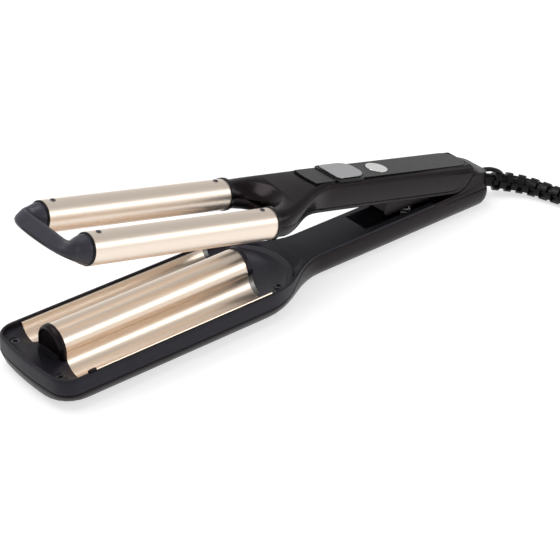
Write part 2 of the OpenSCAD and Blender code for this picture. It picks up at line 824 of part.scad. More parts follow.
module cord_tie() {
    color("#17171a") translate(coil_centre) rotate([0, 0, 180]) difference() {
        translate([coil_inner_r - cord_d / 2 - 1.5, -3, 0])
            cube([coil_outer_r - coil_inner_r + cord_d + 3, 6, coil_layers * cord_d + 1.5]);
        translate([coil_inner_r - cord_d / 2 - 0.4, -4, -1])
            cube([coil_outer_r - coil_inner_r + cord_d + 0.5, 8, coil_layers * cord_d + 1]);
    }
}
module plug_run() {
    path = spline(plug_route, 2);
    color("#1c1c20") tube(path, [for (p = path) cord_d / 2], 10);
}
module plug_body() {
    color("#1c1c20") translate(plug_at) rotate([0, 0, 90]) hull() {
        rotate([-90, 0, 0]) cylinder(r = 5, h = 2, $fn = 32);
        translate([-13, 12, -6]) cube([26, 4, 13]);
        translate([-17, plug_l - 6, -7]) cube([34, 6, 15]);
    }
}
module plug_pins() {
    color("#c9c9cf") for (side = [-1, 1])
        translate(plug_at) rotate([0, 0, 90]) translate([9.5 * side, plug_l, 0])
            rotate([-90, 0, 0]) cylinder(r = 2, h = plug_pin_l);
}

// ---- Upper arm, drawn closed ----

function nose_view(d) = concat(
    [[yoke_x0 - 6, 70], [yoke_x0 - 6, 0], [nose_x, 0]],
    arc(nose_x, nose_z, nose_r - d, 270, 360, 10),
    [[arm_end - d, arm_top - 1.5], [arm_end - d - 1.5, arm_top + 0.1], [arm_end - d - 1.5, 70]]
);
module arm_shape(g) {
    intersection() {
        loft(concat(
            [for (i = [0 : 14]) arm_ring(yoke_x0 + i * (neck_x - yoke_x0) / 14, g)],
            [arm_ring(arm_end + 3, g)]
        ));
        across(nose_view(-g), head_w);
    }
}
// The room between the legs, which leaves them round and runs out in a slope over the body
module crotch(g) {
    r = leg_r - g;
    reach = 30;
    mouth_r = barrel_pitch + reach - 2 * r * cos(45);
    translate([yoke_x0, 0, barrel_z]) rotate_extrude() polygon(concat(
        [[0, -reach], [mouth_r, -reach]],
        [for (a = [-45 : 15 : 45]) [barrel_pitch - r * cos(a), r * sin(a)]],
        [[mouth_r, reach], [0, reach]]
    ));
}
module arm_room() {
    difference() {
        arm_shape(-arm_wall);
        crotch(arm_wall);
        block(yoke_x0 - 10, yoke_x0 + leg_solid, head_w, 0, 70);
    }
}
module below_arm_seam() {
    across(concat(
        [[yoke_x0 - 6, 0], [yoke_x0 - 6, arm_bottom + seam_h]],
        arc(nose_x, nose_z, nose_r - seam_h, 270, 360, 10),
        [[arm_end + 6, nose_z], [arm_end + 6, 0]]
    ), head_w);
}
function panel_points(g) = concat(
    arc(panel_x1 - panel_corner_r, panel_hw - panel_corner_r, panel_corner_r + g, 0, 90, 8),
    [for (i = [-4 : 4]) [panel_x0 - g + panel_bow * i * i / 16, -(panel_hw + g) * i / 4]],
    arc(panel_x1 - panel_corner_r, panel_corner_r - panel_hw, panel_corner_r + g, 270, 360, 8)
);
function pad_points(g) =
    let (xa = pad_x - pad_l / 2 - g, xb = pad_x + pad_l / 2 + g, hw = pad_w / 2 + g, rf = 3, rb = 8)
    concat(
        arc(xb - rb, hw - rb, rb, 0, 90, 6), arc(xa + rf, hw - rf, rf, 90, 180, 4),
        arc(xa + rf, rf - hw, rf, 180, 270, 4), arc(xb - rb, rb - hw, rb, 270, 360, 6)
    );
module sheet(points, z0, z1) {
    translate([0, 0, z0]) linear_extrude(z1 - z0) polygon(points);
}
module control_windows(g) {
    translate([pad_x - stem_l / 2 - g, -stem_w / 2 - g, board_z + board_t + switch_h])
        cube([stem_l + 2 * g, stem_w + 2 * g, 30]);
    post(button_x, 0, board_z + board_t + switch_h, 70, button_d / 2 + g);
}
module at_barrels() {
    for (side = [-1, 1]) translate([0, side * barrel_pitch, barrel_z]) children();
}
module upper_casing() {
    color("#1f1f24") raise() difference() {
        union() {
            difference() {
                arm_shape(0);
                crotch(0);
                below_arm_seam();
                arm_room();
            }
            // Posts from the roof for the board and for the screws of the cover
            intersection() {
                difference() {
                    arm_shape(0);
                    crotch(0);
                }
                union() {
                    for (x = board_screw_x, side = [-1, 1])
                        post(x, side * board_screw_y, board_z + board_t, arm_top - 1, 2.4);
                    for (at = cover_screws_at)
                        post(at[0], at[1], at[2] + seat_web, arm_top - 1, post_r - 0.6);
                }
            }
        }
        sheet(panel_points(fit), arm_top - panel_seat, arm_top + 5);
        sheet(pad_points(base_rim + fit), base_z, arm_top + 5);
        control_windows(button_gap);
        at_barrels() rod_x(yoke_x0 - 1, yoke_x0 + rear_spigot_l + 0.5, 0, 0, rear_spigot_r + fit);
        at_barrels() rod_x(yoke_x0 - 1, yoke_x0 + leg_solid + 1, 0, 0, wire_r);
        for (x = board_screw_x, side = [-1, 1])
            post(x, side * board_screw_y, board_z, board_z + board_t + 7, board_shank_r + fit);
        for (at = cover_screws_at) post(at[0], at[1], at[2], at[2] + seat_web + screw_reach, shank_r + fit);
    }
}
module upper_cover() {
    color("#2c2c33") raise() difference() {
        union() {
            difference() {
                intersection() {
                    arm_shape(0);
                    below_arm_seam();
                }
                crotch(0);
                arm_room();
            }
            intersection() {
                arm_shape(0);
                for (at = cover_screws_at) post(at[0], at[1], 0, at[2] + seat_web, post_r);
            }
        }
        at_barrels() rod_x(yoke_x0 - 1, yoke_x0 + rear_spigot_l + 0.5, 0, 0, rear_spigot_r + fit);
        at_barrels() rod_x(yoke_x0 - 1, yoke_x0 + leg_solid + 1, 0, 0, wire_r);
        for (at = cover_screws_at) {
            post(at[0], at[1], 0, at[2], head_r + 0.2);
            post(at[0], at[1], 0, at[2] + seat_web + 1, shank_r + fit);
        }
        for (x = block_screw_x) post(x, 0, 0, arm_top, shank_r + fit);
    }
}
module cover_screws() {
    color("#c9c9cf") raise() for (at = cover_screws_at)
        translate([at[0], at[1], 0]) screw_up(at[2] - head_t, seat_web + screw_reach - 1);
}
module top_panel() {
    color("#77777f") raise() difference() {
        sheet(panel_points(0), arm_top - panel_seat, panel_top);
        sheet(pad_points(base_rim + fit), base_z - 1, arm_top + 5);
        control_windows(button_gap);
    }
}
// Tray that the thumb pad moves in
module pad_base() {
    color("#8e8e96") raise() difference() {
        sheet(pad_points(base_rim), base_z, base_z + base_t + rim_h);
        sheet(pad_points(rim_gap), base_z + base_t, base_z + 10);
        control_windows(button_gap);
    }
}

module barrel() {
    difference() {
        rod_x(barrel_x0, barrel_x1, 0, 0, barrel_r);
        rod_x(barrel_x0 - 1, barrel_x1 + 1, 0, 0, barrel_r - barrel_wall);
        for (x = barrel_screw_x) post(x, 0, 0, barrel_r + 1, pin_r + fit);
    }
}
module barrel_near() {
    color("#b9a06a") raise() translate([0, -barrel_pitch, barrel_z]) barrel();
}
module barrel_far() {
    color("#b9a06a") raise() translate([0, barrel_pitch, barrel_z]) barrel();
}
module barrel_collars() {
    color("#141417") raise() at_barrels() difference() {
        union() {
            rod_x(barrel_x1, yoke_x0, 0, 0, collar_r);
            rod_x(barrel_x1 - spigot_l, barrel_x1 + 0.5, 0, 0, spigot_r);
            rod_x(yoke_x0 - 0.5, yoke_x0 + rear_spigot_l, 0, 0, rear_spigot_r);
        }
        rod_x(barrel_x1 - spigot_l - 1, yoke_x0 + rear_spigot_l + 1, 0, 0, wire_r);
        post(barrel_screw_x[1], 0, wire_r - 2, barrel_r, pin_r + fit);
    }
}
module tip_bridge() {
    color("#3f3f47") raise() {
        for (side = [-1, 1]) {
            difference() {
                translate([0, side * barrel_pitch, barrel_z]) union() {
                    rod_x(barrel_x0 - 1.2, barrel_x0, 0, 0, barrel_r + 0.4);
                    rod_x(barrel_x0 - 0.5, barrel_x0 + spigot_l, 0, 0, spigot_r);
                    rod_x(barrel_x0 - 2.2, barrel_x0 - 1, 0, 0, barrel_r - 1.4);
                }
                translate([barrel_screw_x[0], side * barrel_pitch, barrel_z + wire_r - 2])
                    cylinder(r = pin_r + fit, h = 8);
            }
            // Leg that sweeps from the cap to the bridge
            hull() {
                translate([0, side * barrel_pitch, barrel_z])
                    rod_x(barrel_x0 - 3.4, barrel_x0 - 2.2, 0, 0, barrel_r - 1.3);
                bar_end(side);
            }
        }
        for (i = [-2 : 1]) hull() {
            bar_post(i);
            bar_post(i + 1);
        }
    }
}
module bar_post(i) {
    translate([bar_x + bar_bow * i * i / 4, i * bar_step, bar_z0])
        cylinder(r = bar_hl, h = bar_h, $fn = 24);
}
module bar_end(side) {
    bar_post(2 * side);
    translate([bar_x + bar_bow + 1.5, side * (barrel_pitch + 3), bar_z0 + 0.4])
        cylinder(r = 2.2, h = bar_h - 0.8, $fn = 24);
}
module barrel_screws() {
    color("#c9c9cf") raise() at_barrels() for (x = barrel_screw_x) {
        post(x, 0, barrel_r - 2.9, barrel_r, pin_r);
        post(x, 0, barrel_r, barrel_r + 0.5, pin_r + 0.6);
    }
}
module barrel_heaters() {
    color("#8a6a3c") raise() at_barrels()
        translate([barrel_x0 + spigot_l + 4, -heater_w / 2, -heater_t / 2])
            cube([heater_l, heater_w, heater_t]);
}
module heater_shoes() {
    color("#a9a9ae") raise() at_barrels() difference() {
        rod_x(barrel_x0 + spigot_l + 2, barrel_x1 - spigot_l - 2, 0, 0, spigot_r);
        translate([barrel_x0, -barrel_r, -heater_t / 2 - fit])
            cube([plate_l, 2 * barrel_r, heater_t + 2 * fit]);
    }
}

module hinge_block() {
    color("#2c2c33") raise() difference() {
        union() {
            across([
                [hinge_x - block_l, arm_bottom], [hinge_x - block_l, hinge_z + 0.5],
                [hinge_x - block_l + 0.9, hinge_z - 1.6], [hinge_x - block_l + 3, hinge_z - 2.7],
                [hinge_x - 27, hinge_z + 2.7], [hinge_x - 10, hinge_z + 5.2],
                [hinge_x - 7.5, arm_bottom]
            ], block_hw);
            across([
                [hinge_x - 12, arm_bottom], [hinge_x - 12, hinge_z + 5.6], [hinge_x - lug_r + 0.6, hinge_z],
                [hinge_x + lug_r - 0.6, hinge_z], [hinge_x + lug_r, arm_bottom]
            ], lug_hw);
            pin_y(hinge_x, hinge_z, lug_r, -lug_hw, lug_hw);
        }
        pin_y(hinge_x, hinge_z, pin_d / 2 + pin_fit, -block_hw, block_hw);
        for (x = block_screw_x) post(x, 0, arm_bottom - block_screw_l - 1, arm_bottom + 1, shank_r + fit);
    }
}
module block_screws() {
    color("#c9c9cf") raise() for (x = block_screw_x)
        translate([x, 0, 0]) screw_down(arm_bottom + arm_wall + head_t, arm_wall + block_screw_l);
}
module hinge_spring() {
    low = pocket_floor;
    high = raised_point(hinge_x - spring_back, hinge_z + 3.44)[1] - 0.1;
    r = spring_d / 2 - spring_wire / 2;
    steps = 14;
    coil = [for (i = [0 : spring_turns * steps]) let (t = i / (spring_turns * steps)) [
        hinge_x - spring_back + r * cos(360 * i / steps), r * sin(360 * i / steps),
        low + spring_wire / 2 + (high - low - spring_wire) * t
    ]];
    color("#b5b5bb") tube(coil, [for (p = coil) spring_wire / 2], 6);
}

module control_board() {
    color("#2f6b3d") raise() difference() {
        translate([board_x0, -board_hw, board_z]) cube([board_l, 2 * board_hw, board_t]);
        for (x = board_screw_x, side = [-1, 1])
            post(x, side * board_screw_y, board_z - 1, board_z + board_t + 1, board_shank_r + fit);
    }
}
module board_screws() {
    color("#c9c9cf") raise() for (x = board_screw_x, side = [-1, 1]) {
        post(x, side * board_screw_y, board_z - 1.2, board_z, 2);
        post(x, side * board_screw_y, board_z - 0.1, board_z + board_t + 6, board_shank_r);
    }
}
module tact_switches() {
    color("#d8d8d0") raise() for (x = switch_x) difference() {
        translate([x - 3, -3, board_z + board_t]) cube([6, 6, switch_h]);
        post(x, 0, switch_top - 1 - press - 0.3, switch_top + 1, plunger_r + pin_fit);
    }
}
module plunger(x) {
    post(x, 0, switch_top - 1, plunger_top, plunger_r);
}
module arm_leads() {
    color("#a33b32") raise() for (side = [-1, 1]) {
        route = spline([
            [barrel_x1 - spigot_l - 2, side * barrel_pitch, barrel_z],
            [yoke_x0 + rear_spigot_l + 2, side * barrel_pitch, barrel_z],
            [yoke_x0 + 17, 17.5 * side, barrel_z + 1], [yoke_x0 + 29, 9 * side, board_z - 1.8],
            [neck_x - 8, 5 * side, board_z - 1.6], [board_x0 + 2, 2.8 * side, board_z - 0.9]
        ], 4);
        tube(route, [for (p = route) 0.8], 8);
    }
}
module power_button() {
    color("#d5d5da") raise() {
        post(button_x, 0, plunger_top + 1, panel_top + 0.4, button_d / 2);
        post(button_x, 0, plunger_top, arm_top - arm_wall - button_gap, button_d / 2 + 1);
    }
}
module power_plunger() {
    color("#1c1c20") raise() plunger(button_x);
}
module thumb_pad() {
    cap_z = base_z + base_t + press + 0.1;
    color("#a4a4ac") raise() {
        sheet(pad_points(0), cap_z, cap_z + pad_t);
        translate([pad_x - stem_l / 2, -stem_w / 2, plunger_top])
            cube([stem_l, stem_w, cap_z + 0.5 - plunger_top]);
        translate([pad_x - stem_l / 2 - 1.3, -stem_w / 2 - 1.3, plunger_top])
            cube([stem_l + 2.6, stem_w + 2.6, arm_top - arm_wall - button_gap - plunger_top]);
    }
}
module pad_plungers() {
    color("#1c1c20") raise() for (i = [0, 1]) plunger(switch_x[i]);
}

lower_casing();
head_frame();
tail_cover();
wave_plate();
ridge_cap_front();
ridge_collar_rear();
plate_screws();
casing_screws();
lower_heater();
thermal_fuse();
heater_leads();
cord_clamp();
clamp_screws();
mains_lead();
hinge_pin();
hinge_spring();
cord_boot();
strain_relief();
cord_run();
cord_coil();
cord_tie();
plug_run();
plug_body();
plug_pins();
upper_casing();
upper_cover();
cover_screws();
top_panel();
pad_base();
barrel_near();
barrel_far();
barrel_collars();
tip_bridge();
barrel_screws();
barrel_heaters();
heater_shoes();
hinge_block();
block_screws();
control_board();
board_screws();
tact_switches();
arm_leads();
power_button();
power_plunger();
thumb_pad();
pad_plungers();
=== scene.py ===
import json
import math

import bmesh
import bpy
from mathutils import Matrix, Vector


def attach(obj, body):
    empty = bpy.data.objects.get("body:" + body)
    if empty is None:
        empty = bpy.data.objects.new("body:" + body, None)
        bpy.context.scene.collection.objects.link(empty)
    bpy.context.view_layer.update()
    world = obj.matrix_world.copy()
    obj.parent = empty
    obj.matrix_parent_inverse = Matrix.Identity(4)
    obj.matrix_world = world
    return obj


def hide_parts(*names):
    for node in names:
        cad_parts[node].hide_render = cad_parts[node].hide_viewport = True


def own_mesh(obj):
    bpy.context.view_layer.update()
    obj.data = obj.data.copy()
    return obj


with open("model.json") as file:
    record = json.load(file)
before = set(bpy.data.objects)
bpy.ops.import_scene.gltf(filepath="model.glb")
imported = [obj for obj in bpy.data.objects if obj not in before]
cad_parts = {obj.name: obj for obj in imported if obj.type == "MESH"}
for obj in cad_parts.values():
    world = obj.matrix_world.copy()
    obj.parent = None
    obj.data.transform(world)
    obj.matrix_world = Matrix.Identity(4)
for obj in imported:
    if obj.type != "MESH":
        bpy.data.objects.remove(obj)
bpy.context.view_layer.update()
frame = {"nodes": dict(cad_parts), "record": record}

# Places and sizes are in millimetres, apart from the cord's, the camera's and the lamps', and
# those that are multiplied by MM, which are in metres. Angles are in degrees.
MM = 0.001
BEHAVIOUR = frame["record"]["behaviour"]
BODY_OF = {node: body for body, nodes in BEHAVIOUR["bodies"].items() for node in nodes}
ARM_JOINT = next(joint for joint in BEHAVIOUR["joints"] if joint["name"] == "arm_close")
HINGE = Vector(ARM_JOINT["pos_m"])
OPENING = Matrix.Rotation(math.radians(ARM_JOINT["range_deg"][1]), 3, "Y")
UP = Vector((0, 0, 1))


def mm(*numbers):
    """A point given in millimetres."""
    return Vector(numbers) * MM


def raised(point):
    """Where a point of the closed upper arm is at rest, with the arms open."""
    return HINGE + OPENING @ (Vector(point) - HINGE)


# ---------------------------------------------------------------- camera

VIEW_AZIMUTH = math.radians(-39.98)
VIEW_ELEVATION = math.radians(32.13)
VIEW_ROLL = math.radians(0.73)
VIEW_TARGET = mm(9.08, -1.0, 0.36)
VIEW_DISTANCE = 1.2755
LENS_MM = 126.6
SENSOR_MM = 36


def add_camera():
    back = Vector((
        math.sin(VIEW_AZIMUTH) * math.cos(VIEW_ELEVATION),
        -math.cos(VIEW_AZIMUTH) * math.cos(VIEW_ELEVATION),
        math.sin(VIEW_ELEVATION),
    ))
    right = UP.cross(back).normalized()
    up = back.cross(right)
    turned_right = math.cos(VIEW_ROLL) * right + math.sin(VIEW_ROLL) * up
    turned_up = math.cos(VIEW_ROLL) * up - math.sin(VIEW_ROLL) * right
    data = bpy.data.cameras.new("camera")
    data.lens = LENS_MM
    data.sensor_width = SENSOR_MM
    camera = bpy.data.objects.new("camera", data)
    camera.matrix_world = Matrix((turned_right, turned_up, back)).transposed().to_4x4()
    camera.location = VIEW_TARGET + back * VIEW_DISTANCE
    bpy.context.collection.objects.link(camera)
    bpy.context.scene.camera = camera


# ---------------------------------------------------------------- materials

# A moulding: lumps per metre of the clouds in its colour, of the patches in its gloss and of its
# grain, the change that clouds and patches make, and the grain's depth in metres; then the
# change that a metal's lines make to its roughness
CLOUD_SCALE = 55
PATCH_SCALE = 260
GRAIN_SCALE = 2600
CLOUD_CHANGE = 0.12
PATCH_CHANGE = 0.03
GRAIN_DEPTH = 0.000012
LINE_CHANGE = 0.02
BEVEL_SAMPLES = 6

# The parts of a noise's range over which the colour and the gloss change
COLOUR_PART = (0.35, 0.65)
GLOSS_PART = (0.3, 0.7)

# Tints of the gloss: on the black mouldings, on the grey ones and on the others
WARM = (1, 0.82, 0.88)
COOL = (0.93, 0.89, 1)
PLAIN = (1, 1, 1)

# Mouldings: colour, roughness, specular level, radius of the edges in metres, tint
PLASTICS = {
    "casing": ((0.0026, 0.0018, 0.0022), 0.34, 0.24, 0.0008, WARM),
    "frame": ((0.012, 0.0112, 0.015), 0.46, 0.27, 0.0008, COOL),
    # The scoop's plastic is the frame's made lighter: painted light on the dish behind the plate
    "scoop": ((0.022, 0.021, 0.027), 0.4, 0.35, 0.0008, COOL),
    "arm": ((0.0024, 0.0016, 0.002), 0.26, 0.21, 0.0006, WARM),
    "arm_cover": ((0.004, 0.0035, 0.004), 0.34, 0.28, 0.0006, WARM),
    "tip": ((0.030, 0.028, 0.040), 0.34, 0.35, 0.0006, PLAIN),
    "tip_rim": ((0.003, 0.003, 0.0035), 0.3, 0.25, 0.0003, PLAIN),
    "collar": ((0.003, 0.003, 0.0035), 0.25, 0.25, 0.0003, PLAIN),
    "panel": ((0.007, 0.0067, 0.0075), 0.3, 0.25, 0.0003, PLAIN),
    "pad_rim": ((0.003, 0.003, 0.0035), 0.3, 0.25, 0.0003, PLAIN),
    "ceramic": ((0.70, 0.68, 0.62), 0.5, 0.45, 0.0005, PLAIN),
    "lead": ((0.35, 0.05, 0.04), 0.45, 0.45, 0.0005, PLAIN),
    "board": ((0.03, 0.16, 0.06), 0.3, 0.45, 0.0005, PLAIN),
    "cord": ((0.003, 0.003, 0.0034), 0.4, 0.25, 0, PLAIN),
    "relief": ((0.0022, 0.0022, 0.0025), 0.38, 0.2, 0.0003, PLAIN),
    "plug": ((0.004, 0.004, 0.0045), 0.42, 0.3, 0.0008, PLAIN),
}

# Stretches of a metal's lines: around a barrel, along the object, and none
AROUND = (1, 0.02, 0.02)
ALONG = (0.02, 1, 1)
EVEN = (1, 1, 1)

# Metals: colour, roughness, stretch and number of the lines per metre, their depth and the
# radius of the edges in metres, and how much the lines change the colour
METALS = {
    "gold": ((0.86, 0.745, 0.64), 0.36, AROUND, 2600, 0.0000002, 0, 0.008),
    "wave_gold": ((0.87, 0.735, 0.61), 0.3, ALONG, 1200, 0, 0, 0.004),
    "pad": ((0.46, 0.455, 0.47), 0.32, ALONG, 1500, 0.000004, 0.0003, 0.05),
    "silver": ((0.88, 0.87, 0.85), 0.22, EVEN, 900, 0.000004, 0.0004, 0.05),
    "steel": ((0.40, 0.40, 0.41), 0.3, EVEN, 900, 0.000004, 0.0002, 0.05),
    "trim": ((0.24, 0.235, 0.225), 0.4, EVEN, 900, 0.000004, 0.0002, 0.05),
    "dark_steel": ((0.10, 0.10, 0.11), 0.35, EVEN, 900, 0.000004, 0.0002, 0.05),
    "heater": ((0.55, 0.42, 0.22), 0.45, EVEN, 900, 0.000004, 0, 0.05),
    "shoe": ((0.60, 0.60, 0.62), 0.4, ALONG, 900, 0.000004, 0, 0.05),
}


def new_material(name):
    material = bpy.data.materials.new(name)
    material.use_nodes = True
    tree = material.node_tree
    return material, tree, tree.nodes["Principled BSDF"]


def noise(tree, scale, detail=3, stretch=EVEN):
    """Noise with scale lumps per metre; a small number in stretch draws them out that way."""
    place = tree.nodes.new("ShaderNodeTexCoord")
    mapping = tree.nodes.new("ShaderNodeMapping")
    mapping.inputs["Scale"].default_value = stretch
    texture = tree.nodes.new("ShaderNodeTexNoise")
    texture.inputs["Scale"].default_value = scale
    texture.inputs["Detail"].default_value = detail
    tree.links.new(place.outputs["Object"], mapping.inputs["Vector"])
    tree.links.new(mapping.outputs["Vector"], texture.inputs["Vector"])
    return texture.outputs["Fac"]


def map_range(tree, source, start, end, low, high):
    """Values from low to high as source goes from start to end."""
    node = tree.nodes.new("ShaderNodeMapRange")
    for name, value in (("From Min", start), ("From Max", end), ("To Min", low), ("To Max", high)):
        node.inputs[name].default_value = value
    tree.links.new(source, node.inputs["Value"])
    return node.outputs["Result"]


def vary_roughness(tree, shader, source, roughness, change):
    """Roughness that follows source by change to both sides."""
    varied = map_range(tree, source, *GLOSS_PART, roughness - change, roughness + change)
    tree.links.new(varied, shader.inputs["Roughness"])


def vary_colour(tree, shader, source, colour, change):
    """A darker to a lighter shade of colour, as source says."""
    node = tree.nodes.new("ShaderNodeValToRGB")
    ends = zip(node.color_ramp.elements, COLOUR_PART, (1 - change, 1 + change))
    for element, place, part in ends:
        element.position = place
        element.color = (*(c * part for c in colour), 1)
    tree.links.new(source, node.inputs["Fac"])
    tree.links.new(node.outputs["Color"], shader.inputs["Base Color"])


def roughen(tree, shader, source, depth, edge):
    """Bump of the given depth from source, with edges rounded to the radius edge."""
    bump = tree.nodes.new("ShaderNodeBump")
    bump.inputs["Strength"].default_value = 1
    bump.inputs["Distance"].default_value = depth
    tree.links.new(source, bump.inputs["Height"])
    if edge:
        bevel = tree.nodes.new("ShaderNodeBevel")
        bevel.samples = BEVEL_SAMPLES
        bevel.inputs["Radius"].default_value = edge
        tree.links.new(bevel.outputs["Normal"], bump.inputs["Normal"])
    tree.links.new(bump.outputs["Normal"], shader.inputs["Normal"])


def plastic(name, colour, roughness, specular, edge, tint):
    """Moulded plastic or rubber with a fine grain and slightly uneven, tinted gloss."""
    material, tree, shader = new_material(name)
    vary_colour(tree, shader, noise(tree, CLOUD_SCALE), colour, CLOUD_CHANGE)
    vary_roughness(tree, shader, noise(tree, PATCH_SCALE), roughness, PATCH_CHANGE)
    shader.inputs["Specular IOR Level"].default_value = specular
    shader.inputs["Specular Tint"].default_value = (*tint, 1)
    roughen(tree, shader, noise(tree, GRAIN_SCALE, 2), GRAIN_DEPTH, edge)
    return material


def metal(name, colour, roughness, stretch, scale, depth, edge, shade):
    """Metal with fine lines, which stretch draws out along an axis."""
    material, tree, shader = new_material(name)
    lines = noise(tree, scale, 2, stretch)
    vary_colour(tree, shader, lines, colour, shade)
    shader.inputs["Metallic"].default_value = 1
    vary_roughness(tree, shader, lines, roughness, LINE_CHANGE)
    if depth or edge:
        roughen(tree, shader, lines, depth, edge)
    return material


def make_materials():
    made = {name: plastic(name, *look) for name, look in PLASTICS.items()}
    made.update((name, metal(name, *look)) for name, look in METALS.items())
    return made


# ---------------------------------------------------------------- pieces

# Edges of more than this angle stay sharp on the CAD's shapes and on most built forms
SKIN_SHARP = 32
FORM_SHARP = 40

# A copied CAD mesh: points this close are joined, and faces this level with each other
WELD = 0.002
WELD_ANGLE = 0.4

# A seam's chamfer. Its edges join a face at least as level as FLAT to a wall at most as level as
# WALL, on the outer side, which is told from the middle line with these shares of the length
SEAM_WIDTH = 0.6
SEAM_STEPS = 2
FLAT = 0.85
WALL = 0.6
WALL_SHARE = 0.3
MIDDLE_SHARE = 0.7

# Skins of CAD nodes: material slot, finish, and the heights of the seam that gets a chamfer,
# measured on the closed arm
SKINS = {
    "lower_casing": ("casing", "casing", (9, 18)),
    "head_frame": ("frame", "frame", (9, 18)),
    "tail_cover": ("casing", "casing", (9, 19)),
    "ridge_collar_rear": ("frame", "frame", None),
    "upper_casing": ("arm", "arm", (23, 26)),
    "upper_cover": ("arm_cover", "arm_cover", (23, 26)),
    "top_panel": ("panel", "panel", None),
    "pad_base": ("pad_rim", "pad_rim", None),
    "barrel_near": ("gold", "gold", None),
    "barrel_far": ("gold", "gold", None),
    "barrel_collars": ("collar", "collar", None),
    "hinge_block": ("casing", "casing", None),
    "hinge_spring": ("steel", "steel", None),
    "power_button": ("silver", "silver", None),
    "thumb_pad": ("pad", "pad", None),
    "cord_tie": ("relief", "relief", None),
    "plug_body": ("plug", "plug", None),
}

# CAD nodes that show little and keep their meshes, by finish
INNER_NODES = {
    "heater": ("lower_heater", "barrel_heaters"),
    "ceramic": ("thermal_fuse", "cord_clamp", "power_plunger", "pad_plungers"),
    "lead": ("heater_leads", "arm_leads"),
    "cord": ("mains_lead",),
    "steel": (
        "clamp_screws", "casing_screws", "cover_screws", "block_screws", "board_screws",
        "hinge_pin", "tact_switches",
    ),
    "shoe": ("heater_shoes",),
    "board": ("control_board",),
    "silver": ("plug_pins",),
}


def add_piece(name, mesh, body, finish):
    piece = bpy.data.objects.new(name, mesh)
    bpy.context.collection.objects.link(piece)
    mesh.materials.clear()
    mesh.materials.append(finishes[finish])
    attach(piece, body)
    return piece


def smooth(mesh, sharp):
    """Smooth shading, with edges of more than sharp degrees left sharp."""
    mesh.polygons.foreach_set("use_smooth", [True] * len(mesh.polygons))
    mesh.set_sharp_from_angle(angle=math.radians(sharp))


def is_seam(edge, low, high):
    """Whether an edge is an outer one between a wall and the face where two shells meet."""
    heights = [vertex.co.z for vertex in edge.verts]
    if len(edge.link_faces) != 2 or min(heights) < low * MM or max(heights) > high * MM:
        return False
    flat, wall = sorted((face.normal for face in edge.link_faces), key=lambda n: -abs(n.z))
    middle = (edge.verts[0].co + edge.verts[1].co) / 2
    facing_out = wall.y * middle.y + WALL_SHARE * wall.x * middle.x > 0
    convex = (flat + wall).dot(middle - Vector((middle.x * MIDDLE_SHARE, 0, middle.z))) > 0
    return abs(flat.z) > FLAT and abs(wall.z) < WALL and facing_out and convex


def chamfer_seam(work, seam, raised_arm):
    """Chamfers the seam's edges; those of the raised arm are found with the arm closed."""
    if raised_arm:
        bmesh.ops.rotate(work, cent=HINGE, matrix=OPENING.inverted(), verts=work.verts)
    work.normal_update()
    bmesh.ops.bevel(
        work, geom=[edge for edge in work.edges if is_seam(edge, *seam)], affect="EDGES",
        offset=SEAM_WIDTH * MM, segments=SEAM_STEPS, profile=0.5, clamp_overlap=False,
    )
    if raised_arm:
        bmesh.ops.rotate(work, cent=HINGE, matrix=OPENING, verts=work.verts)


def skin(node):
    """A smooth-shaded piece in the place of a CAD node, with its parting edges chamfered."""
    slot, finish, seam = SKINS[node]
    mesh = frame["nodes"][node].data.copy()
    work = bmesh.new()
    work.from_mesh(mesh)
    bmesh.ops.remove_doubles(work, verts=work.verts, dist=WELD * MM)
    bmesh.ops.dissolve_limit(
        work, angle_limit=math.radians(WELD_ANGLE), verts=work.verts, edges=work.edges
    )
    if seam:
        chamfer_seam(work, seam, BODY_OF[node] == "upper_arm")
    work.to_mesh(mesh)
    work.free()
    smooth(mesh, SKIN_SHARP)
    piece = add_piece(node + "_skin", mesh, BODY_OF[node], finish)
    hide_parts(node)
    return piece


def carve(piece, tool_mesh):
    """Cuts the form of tool_mesh out of piece."""
    tool = bpy.data.objects.new("carving_tool", tool_mesh)
    bpy.context.collection.objects.link(tool)
    cut = piece.modifiers.new("cut", "BOOLEAN")
    cut.operation = "DIFFERENCE"
    cut.solver = "EXACT"
    cut.object = tool
    bpy.context.view_layer.update()
    shaped = piece.evaluated_get(bpy.context.evaluated_depsgraph_get())
    done = bpy.data.meshes.new_from_object(shaped)
    piece.modifiers.remove(cut)
    bpy.data.objects.remove(tool)
    old = piece.data
    piece.data = done
    bpy.data.meshes.remove(old)
    smooth(done, SKIN_SHARP)


def dress_inner():
    for finish, nodes in INNER_NODES.items():
        for node in nodes:
            mesh = frame["nodes"][node].data
            if not mesh.materials:
                mesh.materials.append(finishes[finish])
            for index in range(len(mesh.materials)):
                mesh.materials[index] = finishes[finish]


def dress_shells():
    skins = {node: skin(node) for node in SKINS}
    carve(skins["head_frame"], cap_room())
    carve(skins["head_frame"], scoop_room())
    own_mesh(skins["hinge_spring"])


# ---------------------------------------------------------------- built pieces

def shells_mesh(name, shells, sharp=FORM_SHARP):
    """A mesh of closed skins, each drawn over its rings of points and filled at both ends."""
    points = []
    faces = []
    for rings in shells:
        count = len(rings[0])
        base = len(points)
        points += [point for ring in rings for point in ring]
        for row in range(len(rings) - 1):
            for k in range(count):
                a = base + row * count + k
                b = base + row * count + (k + 1) % count
                faces.append((a, b, b + count, a + count))
        faces.append(tuple(base + k for k in range(count)))
        faces.append(tuple(base + (len(rings) - 1) * count + k for k in range(count)))
    mesh = bpy.data.meshes.new(name)
    mesh.from_pydata(points, [], faces)
    work = bmesh.new()
    work.from_mesh(mesh)
    bmesh.ops.recalc_face_normals(work, faces=work.faces)
    work.to_mesh(mesh)
    work.free()
    smooth(mesh, sharp)
    return mesh


